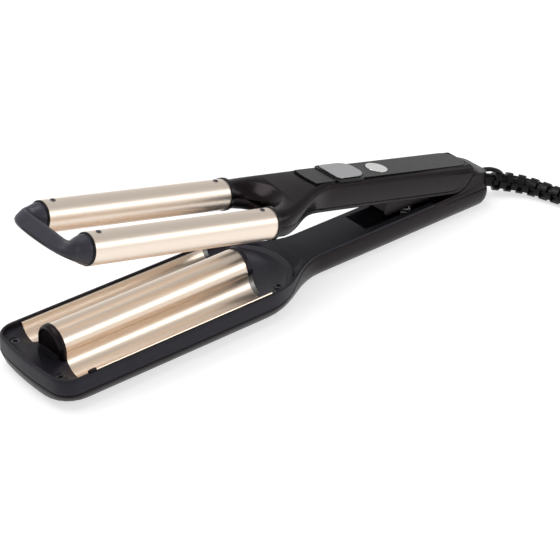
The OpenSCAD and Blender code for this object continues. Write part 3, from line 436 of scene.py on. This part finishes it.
def add_form(name, shells, body, finish, node=None, sharp=FORM_SHARP):
    """A piece built of skins, in the place of node if one is given."""
    piece = add_piece(name, shells_mesh(name, shells, sharp), body, finish)
    if node:
        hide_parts(node)


def blend_rows(rows, steps):
    """Rows of numbers joined by smooth curves, with steps rows to each gap."""
    result = []
    last = len(rows) - 1
    for i in range(last):
        nearest = [rows[min(max(i + k, 0), last)] for k in (-1, 0, 1, 2)]
        for step in range(steps):
            t = step / steps
            weights = (
                (2 * t * t - t - t ** 3) / 2, (2 - 5 * t * t + 3 * t ** 3) / 2,
                (t + 4 * t * t - 3 * t ** 3) / 2, (t ** 3 - t * t) / 2,
            )
            result.append([
                sum(w * value for w, value in zip(weights, column)) for column in zip(*nearest)
            ])
    result.append(list(rows[last]))
    return result


def oval(centre, first, second, square, steps):
    """A ring round centre with half axes first and second, squarer as square falls from 1."""
    ring = []
    for k in range(steps):
        parts = (math.cos(math.tau * k / steps), math.sin(math.tau * k / steps))
        along, across = (math.copysign(abs(part) ** square, part) for part in parts)
        ring.append(centre + along * first + across * second)
    return ring


BARREL_END_X = -165.5
BARREL_Y = 23.2
BARREL_Z = 24.2

# The tip from the near barrel to its middle: middle of the section, half its length and
# thickness, how square it is, its tilt and its heading from -X towards +Y
TIP_ROWS = [
    (-166.2, -23.2, 24.0, 9.3, 9.1, 1.00, 78, 0),
    (-168.4, -23.2, 24.1, 8.9, 8.6, 1.00, 78, 0),
    (-171.0, -23.2, 24.3, 7.9, 7.5, 0.94, 76, 0),
    (-173.6, -23.3, 24.6, 6.8, 6.1, 0.86, 70, 3),
    (-176.4, -23.5, 25.0, 5.6, 4.9, 0.74, 60, 14),
    (-179.3, -22.2, 25.7, 4.9, 3.4, 0.60, 52, 38),
    (-181.0, -18.2, 26.3, 4.9, 2.5, 0.48, 48, 61),
    (-181.7, -12.0, 26.6, 5.1, 2.1, 0.42, 47, 77),
    (-182.0, -6.0, 26.7, 5.2, 2.0, 0.40, 47, 85),
    (-182.1, 0.0, 26.7, 5.2, 2.0, 0.40, 47, 90),
]
TIP_STEPS = 56
TIP_SHARP = 60
ROW_STEPS = 4

# The dark bead is painted shade along the tip's lower outer edge.
# The dark bead starts this many sections from either barrel; how far it stands out
BEAD_FROM = 14
BEAD_R = 0.95
BEAD_OUT = 0.25
BEAD_HEIGHT = 1.9
BEAD_STEPS = 12

# Outline of the rim round the tip's ends: place along X from the barrel's end, and radius
TIP_RIM = [(0.3, 2), (0.3, 9.9), (-0.9, 9.9), (-1.2, 9.6), (-1.2, 9.2), (-0.8, 9.0), (-0.8, 2)]
TIP_RIM_STEPS = 64


def tip_ring(x, y, z, length, width, square, tilt, heading):
    """A rounded section of the tip."""
    turn = math.radians(heading)
    lean = math.radians(tilt)
    outward = Vector((-math.sin(turn), -math.cos(turn), 0))
    long_way = math.sin(lean) * UP - math.cos(lean) * outward
    short_way = math.cos(lean) * UP + math.sin(lean) * outward
    ring = oval(Vector((x, y, z)), length * long_way, width * short_way, square, TIP_STEPS)
    return [raised(point * MM) for point in ring]


def bead_ring(ring):
    """A ring of the bead along the tip's lower outer edge, in the plane of the tip's own ring."""
    count = len(ring)
    middle = sum(ring, Vector()) / count
    edge = ring[count // 2]
    outward = (edge - middle).normalized()
    across = ring[count // 4] - middle
    across = (across - across.dot(outward) * outward).normalized()
    centre = edge - outward * (BEAD_R - BEAD_OUT) * MM
    high = BEAD_R * BEAD_HEIGHT * MM * across
    return oval(centre, BEAD_R * MM * outward, high, 1, BEAD_STEPS)


def add_tip():
    """The bridge that joins the front ends of the barrels, and the rims that it grows from."""
    rows = TIP_ROWS + [
        (x, -y, z, length, width, square, tilt, 180 - heading)
        for x, y, z, length, width, square, tilt, heading in reversed(TIP_ROWS[:-1])
    ]
    bridge = [tip_ring(*row) for row in blend_rows(rows, ROW_STEPS)]
    add_form("tip_bridge_form", [bridge], "upper_arm", "tip", "tip_bridge", TIP_SHARP)
    bead = [bead_ring(ring) for ring in bridge[BEAD_FROM:-BEAD_FROM]]
    # A dark bead that paints the shade along the tip's lower outer edge
    add_form("tip_bead", [bead], "upper_arm", "tip_rim", sharp=TIP_SHARP)
    rims = []
    for side in (-1, 1):
        rings = []
        for x, r in TIP_RIM:
            centre = mm(BARREL_END_X + x, side * BARREL_Y, BARREL_Z)
            rings.append(oval(centre, mm(0, r, 0), mm(0, 0, r), 1, TIP_RIM_STEPS))
        rims.append([[raised(point) for point in ring] for ring in rings])
    add_form("tip_rims", rims, "upper_arm", "tip_rim")


# Front cap of the ridge: place along X and radius of each ring of its outline
CAP_ROWS = [
    (-164.3, 13.0), (-165.8, 12.95), (-167.0, 12.6), (-168.0, 11.8),
    (-168.5, 10.8), (-168.4, 10.2), (-167.9, 9.9), (-167.8, 4),
]
CAP_R = 13.0
CAP_STEPS = 40
CAP_SHARP = 50

# How far the cap's legs reach into the floor, and the rise of their ends for each mm of rounding
CAP_SUNK = 0.2
CAP_LIFT = 0.6

# Heights of the ridge's middle and of the front dish's floor
RIDGE_Z = 23.4
DISH_Z = 18.2

# The room for the cap: its ends along X, half its width, and its heights from the dish's floor
CAP_ROOM_X = (-169.3, -164.6)
CAP_ROOM_HW = 12.6
CAP_ROOM_H = (-0.02, 6)


def cap_ring(x, radius):
    """Half a circle on two straight legs that stand in the dish."""
    foot = DISH_Z - CAP_SUNK + CAP_LIFT * (CAP_R - radius)
    crown = [mm(x, *point) for point in arc(0, RIDGE_Z, radius, 0, 180, CAP_STEPS)]
    return [mm(x, radius, foot), *crown, mm(x, -radius, foot)]


def cap_room():
    """The room in front of the plate that the ridge's cap takes."""
    low, high = (DISH_Z + height for height in CAP_ROOM_H)
    corners = [
        (-CAP_ROOM_HW, low), (CAP_ROOM_HW, low), (CAP_ROOM_HW, high), (-CAP_ROOM_HW, high)
    ]
    rings = [[mm(x, *corner) for corner in corners] for x in CAP_ROOM_X]
    return shells_mesh("cap_room", [rings])


def add_ridge_cap():
    rings = [cap_ring(x, radius) for x, radius in CAP_ROWS]
    add_form(
        "ridge_cap_form", [rings], "lower_arm", "casing", "ridge_cap_front", CAP_SHARP
    )


# The smooth scoop behind the plate: half its length and width, its depth, its face's height, how
# far its skin lies over the carved frame, and its thickness
SCOOP_X = -26.4
SCOOP_L = 31
SCOOP_W = 35.4
SCOOP_DEPTH = 7.2
SCOOP_H = 18.6
SCOOP_LIFT = 0.05
SCOOP_SKIN = 1
SCOOP_ROOM_H = 6

# Its points: the turns across it, and the steps out from its middle, closer towards its rim
SCOOP_TURNS = [math.radians(angle) for angle in range(-90, 91, 5)]
SCOOP_OUTS = [0.02] + [math.sin(math.radians(9 * step)) for step in range(1, 11)]

# The scoop's rim: its drop below the face, then how far out and how deep each row of its flange is
RIM_DROP = 0.45
RIM_ROWS = [(2, 0.25), (5, 0.15)]


def scoop_point(out, turn, grow):
    """A point of the bowl, out from 0 at its middle to 1 at its rim; grow makes it larger."""
    x = SCOOP_X + (SCOOP_L + grow) * out * math.cos(turn)
    y = (SCOOP_W + grow) * out * math.sin(turn)
    return x, y, SCOOP_H - (SCOOP_DEPTH + grow) * math.sqrt(max(0, 1 - out * out))


def scoop_room():
    """The hollow of the scoop as a solid, from its bowl to above the frame."""
    rings = [[mm(*scoop_point(out, turn, 0)) for turn in SCOOP_TURNS] for out in SCOOP_OUTS]
    top = (SCOOP_H + SCOOP_ROOM_H) * MM
    rings.append([Vector((point.x, point.y, top)) for point in rings[-1]])
    return shells_mesh("scoop_tool", [rings])


def add_scoop():
    """The bowl's skin and the flange round it."""
    rings = []
    for turn in SCOOP_TURNS:
        upper = []
        for out in SCOOP_OUTS:
            x, y, z = scoop_point(out, turn, -SCOOP_LIFT)
            upper.append(mm(x, y, min(z, SCOOP_H - RIM_DROP)))
        for reach, drop in RIM_ROWS:
            x, y, _ = scoop_point(1, turn, reach * math.cos(turn) ** 2)
            upper.append(mm(x, y, SCOOP_H - drop))
        rings.append(upper + [point - mm(0, 0, SCOOP_SKIN) for point in reversed(upper)])
    # Its lighter plastic is painted light on the dish, which is part of the frame
    add_form("rear_scoop", [rings], "lower_arm", "scoop")


# The wave plate: middles of its channels, radii, thickness, ends along X, how far its lips lie
# below the channels' middles, and half the width of the groove beside the ridge
CHANNEL_Y = 23.8
CHANNEL_R = 11.4
PLATE_T = 1.2
RIDGE_R = 12.2
PLATE_X = (-164.5, -26.5)
PLATE_STEPS = 12
LIP_DROP = 1.0
FAR_LIP_DROP = 3.2
GROOVE = 0.45
GROOVE_HH = 0.25

# A lip's chamfer along Y and Z, and the width that its inner edge takes
LIP_CHAMFER = (0.25, 0.35)
LIP_EDGE = 0.2

# The angles that the arcs keep free at the lip, and at the groove: channel, its back, ridge
LIP_ANGLE = 1
GROOVE_ANGLES = (2.5, 2, 2.5)
ARC_STEPS = 36
RIDGE_STEPS = 48


def arc(y, z, radius, start, end, steps):
    """Points of an arc round (y, z), from the angle start to the angle end."""
    angles = [math.radians(start + (end - start) * k / steps) for k in range(steps + 1)]
    return [(y + radius * math.cos(a), z + radius * math.sin(a)) for a in angles]


def near_side(drop):
    """The profile's upper side from the near lip to the groove at the ridge, and its back."""
    lip = RIDGE_Z - drop
    edge = -CHANNEL_Y - CHANNEL_R - PLATE_T
    chamfer_y, chamfer_z = LIP_CHAMFER
    start = 180 + math.degrees(math.asin(drop / CHANNEL_R)) + LIP_ANGLE
    end, back_end, _ = (360 - angle for angle in GROOVE_ANGLES)
    groove = -RIDGE_R + GROOVE
    top = [(edge, lip - chamfer_z), (edge + chamfer_y, lip), (edge + PLATE_T - LIP_EDGE, lip)]
    top += arc(-CHANNEL_Y, RIDGE_Z, CHANNEL_R, start, end, ARC_STEPS)
    top += [(groove, RIDGE_Z - GROOVE_HH), (groove, RIDGE_Z + GROOVE_HH)]
    return top, arc(-CHANNEL_Y, RIDGE_Z, CHANNEL_R + PLATE_T, start, back_end, ARC_STEPS)


def plate_profile():
    near, near_back = near_side(LIP_DROP)
    far, far_back = ([(-y, z) for y, z in reversed(part)] for part in near_side(FAR_LIP_DROP))
    _, back_free, free = GROOVE_ANGLES
    ridge = arc(0, RIDGE_Z, RIDGE_R, 180 - free, free, RIDGE_STEPS)
    ridge_back = arc(0, RIDGE_Z, RIDGE_R - PLATE_T, 180 - back_free, back_free, ARC_STEPS)
    back = near_back + ridge_back + far_back
    return near + ridge + far + back[::-1]


def add_wave_plate():
    profile = plate_profile()
    start, end = PLATE_X
    places = [start + (end - start) * step / PLATE_STEPS for step in range(PLATE_STEPS + 1)]
    rings = [[mm(x, y, z) for y, z in profile] for x in places]
    add_form("wave_plate_form", [rings], "lower_arm", "wave_gold", "wave_plate")


# Bare strips at the rear ends of the channels: places along X, ends of their arc, and how far
# they reach into the channel and behind it
TRIM_X = (-26.6, -26.2, -23.6, -23.3)
TRIM_ARC = (186, 354)
TRIM_IN = 0.15
TRIM_BACK = 1.0
TRIM_STEPS = 32


def add_trims():
    """Thin bare strips that line the rear ends of the channels."""
    first, last = TRIM_ARC
    shells = []
    for side in (-1, 1):
        y = side * CHANNEL_Y
        profile = arc(y, RIDGE_Z, CHANNEL_R - TRIM_IN, first, last, TRIM_STEPS)
        profile += arc(y, RIDGE_Z, CHANNEL_R + TRIM_BACK, last, first, TRIM_STEPS)
        shells.append([[mm(x, *point) for point in profile] for x in TRIM_X])
    add_form("channel_trims", shells, "lower_arm", "trim")


# The clip at the near lip: its middle, and the place along X and half the size of each ring
CLIP_Y = -35.9
CLIP_Z = 22.4
CLIP_SQUARE = 0.6
CLIP_STEPS = 16
CLIP_ROWS = [
    (-164.9, 0.5), (-164.6, 0.8), (-162.7, 1.0), (-160.9, 1.0), (-159.5, 0.8), (-159.2, 0.5)
]


def add_lip_clip():
    """The small clip that holds the plate's near lip at its front end."""
    rings = []
    for x, half in CLIP_ROWS:
        centre = mm(x, CLIP_Y, CLIP_Z)
        rings.append(oval(centre, mm(0, half, 0), mm(0, 0, half), CLIP_SQUARE, CLIP_STEPS))
    add_form("lip_clip", [rings], "lower_arm", "casing")


# Screws: places along X and heights of the heads, distance from the middle, radius, shank
PLATE_SCREWS = [(-176.5, 17.7), (-11.5, 15.7)]
PLATE_SCREW_Y = 24.1
PLATE_SCREW_R = 3.0
PLATE_SHANK = 8
BARREL_SCREW_X = (-158.5, -34.5)
BARREL_SCREW_Z = BARREL_Z + 10.4
BARREL_SCREW_R = 1.7
BARREL_SHANK = 3
SCREW_STEPS = 48
SCREW_SHARP = 30

# Shares of a head's radius: the shank, the head's outline below the top, the rings of its top,
# and its recess; the recess's wall is a width in millimetres
SHANK_R = 0.4
HEAD_OUTLINE = [(SHANK_R, -0.5), (1, -0.3), (1, -0.08), (0.92, 0)]
HEAD_TOP = [0.45, 0.3, 0.2, 0.05]
RECESS_DEPTH = 0.45
RECESS_ARM = 0.17
RECESS_REACH = 0.62
RECESS_WALL = 0.02


def screw_rings(at, radius, shank):
    """A screw with a cross recess: its head's top at the point at, its shank below."""
    reach = RECESS_REACH * radius
    profile = [(SHANK_R * radius, -shank)] + [(r * radius, z * radius) for r, z in HEAD_OUTLINE]
    profile += [(reach + RECESS_WALL, 0), (reach, 0)] + [(r * radius, 0) for r in HEAD_TOP]
    rings = []
    for r, z in profile:
        ring = []
        for k in range(SCREW_STEPS):
            x = r * math.cos(math.tau * k / SCREW_STEPS)
            y = r * math.sin(math.tau * k / SCREW_STEPS)
            sunk = z == 0 and r <= reach and min(abs(x), abs(y)) < RECESS_ARM * radius
            drop = RECESS_DEPTH * radius if sunk else 0
            ring.append(mm(at[0] + x, at[1] + y, at[2] + z - drop))
        rings.append(ring)
    return rings


def add_screws():
    plate = [
        screw_rings((x, side * PLATE_SCREW_Y, z), PLATE_SCREW_R, PLATE_SHANK)
        for x, z in PLATE_SCREWS for side in (-1, 1)
    ]
    add_form(
        "plate_screw_heads", plate, "lower_arm", "dark_steel", "plate_screws",
        SCREW_SHARP,
    )
    closed = [
        screw_rings((x, side * BARREL_Y, BARREL_SCREW_Z), BARREL_SCREW_R, BARREL_SHANK)
        for x in BARREL_SCREW_X for side in (-1, 1)
    ]
    tubes = [[[raised(point) for point in ring] for ring in rings] for rings in closed]
    add_form(
        "barrel_screw_heads", tubes, "upper_arm", "dark_steel", "barrel_screws",
        SCREW_SHARP,
    )


# The boot round the cord's root, and the hanging loop's route and half its width and thickness
BOOT_R = 4.3
BOOT_POINTS = 19
BOOT_SQUARE = 0.8
BOOT_SIDES = 32
BOOT_STEPS = 8
BOOT_SHARP = 50
LOOP_ROUTE = [
    (184.5, 0, 17.2), (189, -0.8, 19.0), (194.5, -3, 19.4),
    (199, -6, 18.3), (202, -8, 16.2), (203.5, -9.4, 13),
]
LOOP_HW = 2.4
LOOP_HT = 1.1

# The relief's part of the cord's route by its points, and its blocks: distance from one slot to
# the next, a slot's length, the first one's place, radii at both ends and in the slots
RELIEF_FROM = 28
RELIEF_TO = 140
ROUTE_STEPS = 20
RELIEF_PITCH = 9.0 * MM
RELIEF_SLOT = 3.4 * MM
RELIEF_SHIFT = 1.3 * MM
RELIEF_R = 7.0 * MM
RELIEF_END_R = 5.8 * MM
RELIEF_CORE_R = 3.5 * MM
RELIEF_ROUND = 0.8 * MM
SLOT_WALL = 0.15 * MM
RELIEF_STEPS = 64

# The blocks' sides end where the sine of the angle round the relief is this large
SIDE_SINE = 0.4


def side_ways(way):
    """The level way across a route that goes way, and the upward way square to both."""
    across = way.cross(UP).normalized()
    return across, across.cross(way)


def add_boot():
    """The root of the relief and the flat hanging loop over it."""
    root = [Vector(point) for point in blend_rows(CORD_ROUTE[:4], BOOT_STEPS)][:BOOT_POINTS]
    strap = [Vector(point) * MM for point in blend_rows(LOOP_ROUTE, BOOT_STEPS)]
    shells = []
    for path, wide, high in ((root, BOOT_R, BOOT_R), (strap, LOOP_HW, LOOP_HT)):
        rings = []
        for i, middle in enumerate(path):
            way = (path[min(i + 1, len(path) - 1)] - path[max(i - 1, 0)]).normalized()
            across, upward = side_ways(way)
            first, second = wide * MM * across, high * MM * upward
            rings.append(oval(middle, first, second, BOOT_SQUARE, BOOT_SIDES))
        shells.append(rings)
    add_form(
        "cord_boot_form", shells, "lower_arm", "relief", "cord_boot", BOOT_SHARP
    )


def in_slot(along, shift):
    """Whether a place along the relief is in one of the slots, which come once a pitch."""
    return (along - shift) % RELIEF_PITCH < RELIEF_SLOT


def relief_places(length):
    """The places along the relief that need a ring: its ends, and round each slot's walls."""
    places = {0.0, length}
    step = RELIEF_PITCH / 2
    for k in range(int(length / step) + 1):
        for edge in (
            0, SLOT_WALL, RELIEF_SLOT - SLOT_WALL, RELIEF_SLOT, (RELIEF_SLOT + step) / 2
        ):
            place = RELIEF_SHIFT + k * step + edge
            if 0 < place < length:
                places.add(place)
    return sorted(places)


def relief_ring(along, length, middle, way):
    across, upward = side_ways(way)
    full = RELIEF_R + (RELIEF_END_R - RELIEF_R) * along / length
    full -= max(0, RELIEF_ROUND - min(along, length - along))
    ring = []
    for k in range(RELIEF_STEPS):
        angle = math.tau * k / RELIEF_STEPS
        on_top = abs(math.sin(angle)) > SIDE_SINE
        cut = in_slot(along, RELIEF_SHIFT + (RELIEF_PITCH / 2 if on_top else 0))
        radius = RELIEF_CORE_R if cut else full
        ring.append(middle + radius * (math.cos(angle) * across + math.sin(angle) * upward))
    return ring


def add_relief():
    """Rubber relief of blocks, cut from above and below and, half a pitch on, from both sides."""
    route = [Vector(point) for point in blend_rows(CORD_ROUTE, ROUTE_STEPS)]
    line = route[RELIEF_FROM:RELIEF_TO + 1]
    lengths = [0]
    for a, b in zip(line, line[1:]):
        lengths.append(lengths[-1] + (b - a).length)
    rings = []
    for along in relief_places(lengths[-1]):
        i = max(k for k in range(len(line) - 1) if lengths[k] <= along)
        part = (along - lengths[i]) / (lengths[i + 1] - lengths[i])
        way = (line[i + 1] - line[i]).normalized()
        rings.append(relief_ring(along, lengths[-1], line[i].lerp(line[i + 1], part), way))
    add_form("strain_relief_form", [rings], "lower_arm", "relief", "strain_relief")


# ---------------------------------------------------------------- cord

# In metres, as part.scad lays it
CORD_D = 5.6 * MM
CORD_EXIT = (0.1865, 0, 0.012)
CORD_ROUTE = [
    CORD_EXIT, (0.193, -0.0025, 0.0115), (0.203, -0.009, 0.0095), (0.211, -0.016, 0.008),
    (0.2165, -0.024, 0.007), (0.2205, -0.033, 0.0062), (0.224, -0.045, 0.006),
    (0.225, -0.050, 0.006), (0.2258, -0.055, 0.0052), (0.226, -0.060, 0.0042),
    (0.226, -0.065, 0.0034),
]
PLUG_ROUTE = [
    (0.3122, -0.0708, 0.0102), (0.3098, -0.065, 0.0122), (0.306, -0.060, 0.014),
    (0.301, -0.0562, 0.0158), (0.2952, -0.0538, 0.0174), (0.2893, -0.053, 0.0182),
]
COIL_CENTRE = Vector((0.2695, -0.077, 0))
COIL_INNER_R = 0.0205
COIL_OUTER_R = 0.0435
COIL_TURNS = 4
CLIMB_TURNS = 0.5
TURN_POINTS = 24
CORD_STEPS = 5


def coil_points():
    """Four turns inward on the table, half a turn that climbs, and four turns outward on top."""
    low = CORD_D / 2
    high = low + CORD_D
    points = []
    pitch = (COIL_OUTER_R - COIL_INNER_R) / COIL_TURNS
    for step in range(int((2 * COIL_TURNS + CLIMB_TURNS) * TURN_POINTS) + 1):
        turn = step / TURN_POINTS
        if turn <= COIL_TURNS:
            radius, height = COIL_OUTER_R - pitch * turn, low
        elif turn <= COIL_TURNS + CLIMB_TURNS:
            climb = (turn - COIL_TURNS) / CLIMB_TURNS
            radius, height = COIL_INNER_R, low + (high - low) * climb * climb * (3 - 2 * climb)
        else:
            radius = COIL_INNER_R + pitch * (turn - COIL_TURNS - CLIMB_TURNS)
            height = high
        angle = math.pi + math.tau * turn
        spoke = Vector((radius * math.cos(angle), radius * math.sin(angle), height))
        points.append(COIL_CENTRE + spoke)
    return points


def add_cord():
    points = [Vector(p) for p in CORD_ROUTE] + coil_points() + [Vector(p) for p in PLUG_ROUTE]
    curve = bpy.data.curves.new("mains_cord", "CURVE")
    curve.dimensions = "3D"
    curve.resolution_u = CORD_STEPS
    curve.bevel_depth = CORD_D / 2
    curve.bevel_resolution = CORD_STEPS
    curve.use_fill_caps = True
    spline = curve.splines.new("BEZIER")
    spline.bezier_points.add(len(points) - 1)
    for index, (point, place) in enumerate(zip(spline.bezier_points, points)):
        before = points[max(index - 1, 0)]
        after = points[min(index + 1, len(points) - 1)]
        reach = (after - before).normalized() / 3
        point.co = place
        point.handle_left_type = point.handle_right_type = "FREE"
        point.handle_left = place - reach * (place - before).length
        point.handle_right = place + reach * (after - place).length
    curve.materials.append(finishes["cord"])
    cord = bpy.data.objects.new("mains_cord", curve)
    bpy.context.collection.objects.link(cord)
    length = sum((b - a).length for a, b in zip(points, points[1:]))
    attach(cord, "lower_arm")
    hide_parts("cord_run", "cord_coil", "plug_run")
    return cord, length


# ---------------------------------------------------------------- stage

FLOOR_SIDE = 4
FLOOR_COLOUR = (0.50, 0.50, 0.503)
FLOOR_GLOW = (0.62, 0.62, 0.62, 1)
FLOOR_ROUGHNESS = 0.7
FLOOR_SPECULAR = 0.1
PAPER_SCALE = 900
PAPER_CHANGE = 0.01

# Brightness of the room all round and overhead, and the heights between which it changes
HORIZON = 0.72
ZENITH = 0.5
SKY_HEIGHTS = (0.1, 0.8)

# Lamps: place, size and power
LAMPS = {
    "top": ((-0.25, 0.3, 1.3), (1.2, 0.8), 11),
    "near": ((0.85, -1.15, 0.7), (1.3, 0.4), 4.5),
}


def background_rays(tree):
    """1 for the rays that see the background: from the camera, in gloss and through glass."""
    path = tree.nodes.new("ShaderNodeLightPath")
    total = path.outputs["Is Camera Ray"]
    for name in ("Is Glossy Ray", "Is Transmission Ray"):
        add = tree.nodes.new("ShaderNodeMath")
        add.operation = "MAXIMUM"
        tree.links.new(total, add.inputs[0])
        tree.links.new(path.outputs[name], add.inputs[1])
        total = add.outputs[0]
    return total


def add_floor():
    """A pale floor of paper that glows only where it is the background."""
    mesh = bpy.data.meshes.new("floor")
    signs = [(-1, -1), (1, -1), (1, 1), (-1, 1)]
    corners = [(x * FLOOR_SIDE, y * FLOOR_SIDE, 0) for x, y in signs]
    mesh.from_pydata(corners, [], [(0, 1, 2, 3)])
    floor = bpy.data.objects.new("floor", mesh)
    bpy.context.collection.objects.link(floor)
    material, tree, shader = new_material("floor")
    vary_colour(tree, shader, noise(tree, PAPER_SCALE), FLOOR_COLOUR, PAPER_CHANGE)
    shader.inputs["Roughness"].default_value = FLOOR_ROUGHNESS
    shader.inputs["Specular IOR Level"].default_value = FLOOR_SPECULAR
    shader.inputs["Emission Color"].default_value = FLOOR_GLOW
    tree.links.new(background_rays(tree), shader.inputs["Emission Strength"])
    mesh.materials.append(material)


def add_world():
    world = bpy.data.worlds.new("world")
    bpy.context.scene.world = world
    world.use_nodes = True
    tree = world.node_tree
    background = tree.nodes["Background"]
    background.inputs["Color"].default_value = (1, 1, 1, 1)
    way = tree.nodes.new("ShaderNodeTexCoord")
    parts = tree.nodes.new("ShaderNodeSeparateXYZ")
    tree.links.new(way.outputs["Generated"], parts.inputs["Vector"])
    sky = map_range(tree, parts.outputs["Z"], *SKY_HEIGHTS, HORIZON, ZENITH)
    tree.links.new(sky, background.inputs["Strength"])


def add_lamp(name, place, size, watts):
    """A soft box at place that faces the object."""
    data = bpy.data.lights.new(name, "AREA")
    data.shape = "RECTANGLE"
    data.size, data.size_y = size
    data.energy = watts
    lamp = bpy.data.objects.new(name, data)
    lamp.location = place
    lamp.rotation_euler = (-Vector(place)).to_track_quat("-Z", "Y").to_euler()
    bpy.context.collection.objects.link(lamp)


add_camera()
finishes = make_materials()
cord, cord_length = add_cord()
dress_shells()
dress_inner()
add_tip()
add_ridge_cap()
add_wave_plate()
add_scoop()
add_trims()
add_lip_clip()
add_screws()
add_boot()
add_relief()
add_floor()
add_world()
for lamp_name, lamp_values in LAMPS.items():
    add_lamp(lamp_name, *lamp_values)
bpy.context.scene.view_settings.view_transform = "Standard"
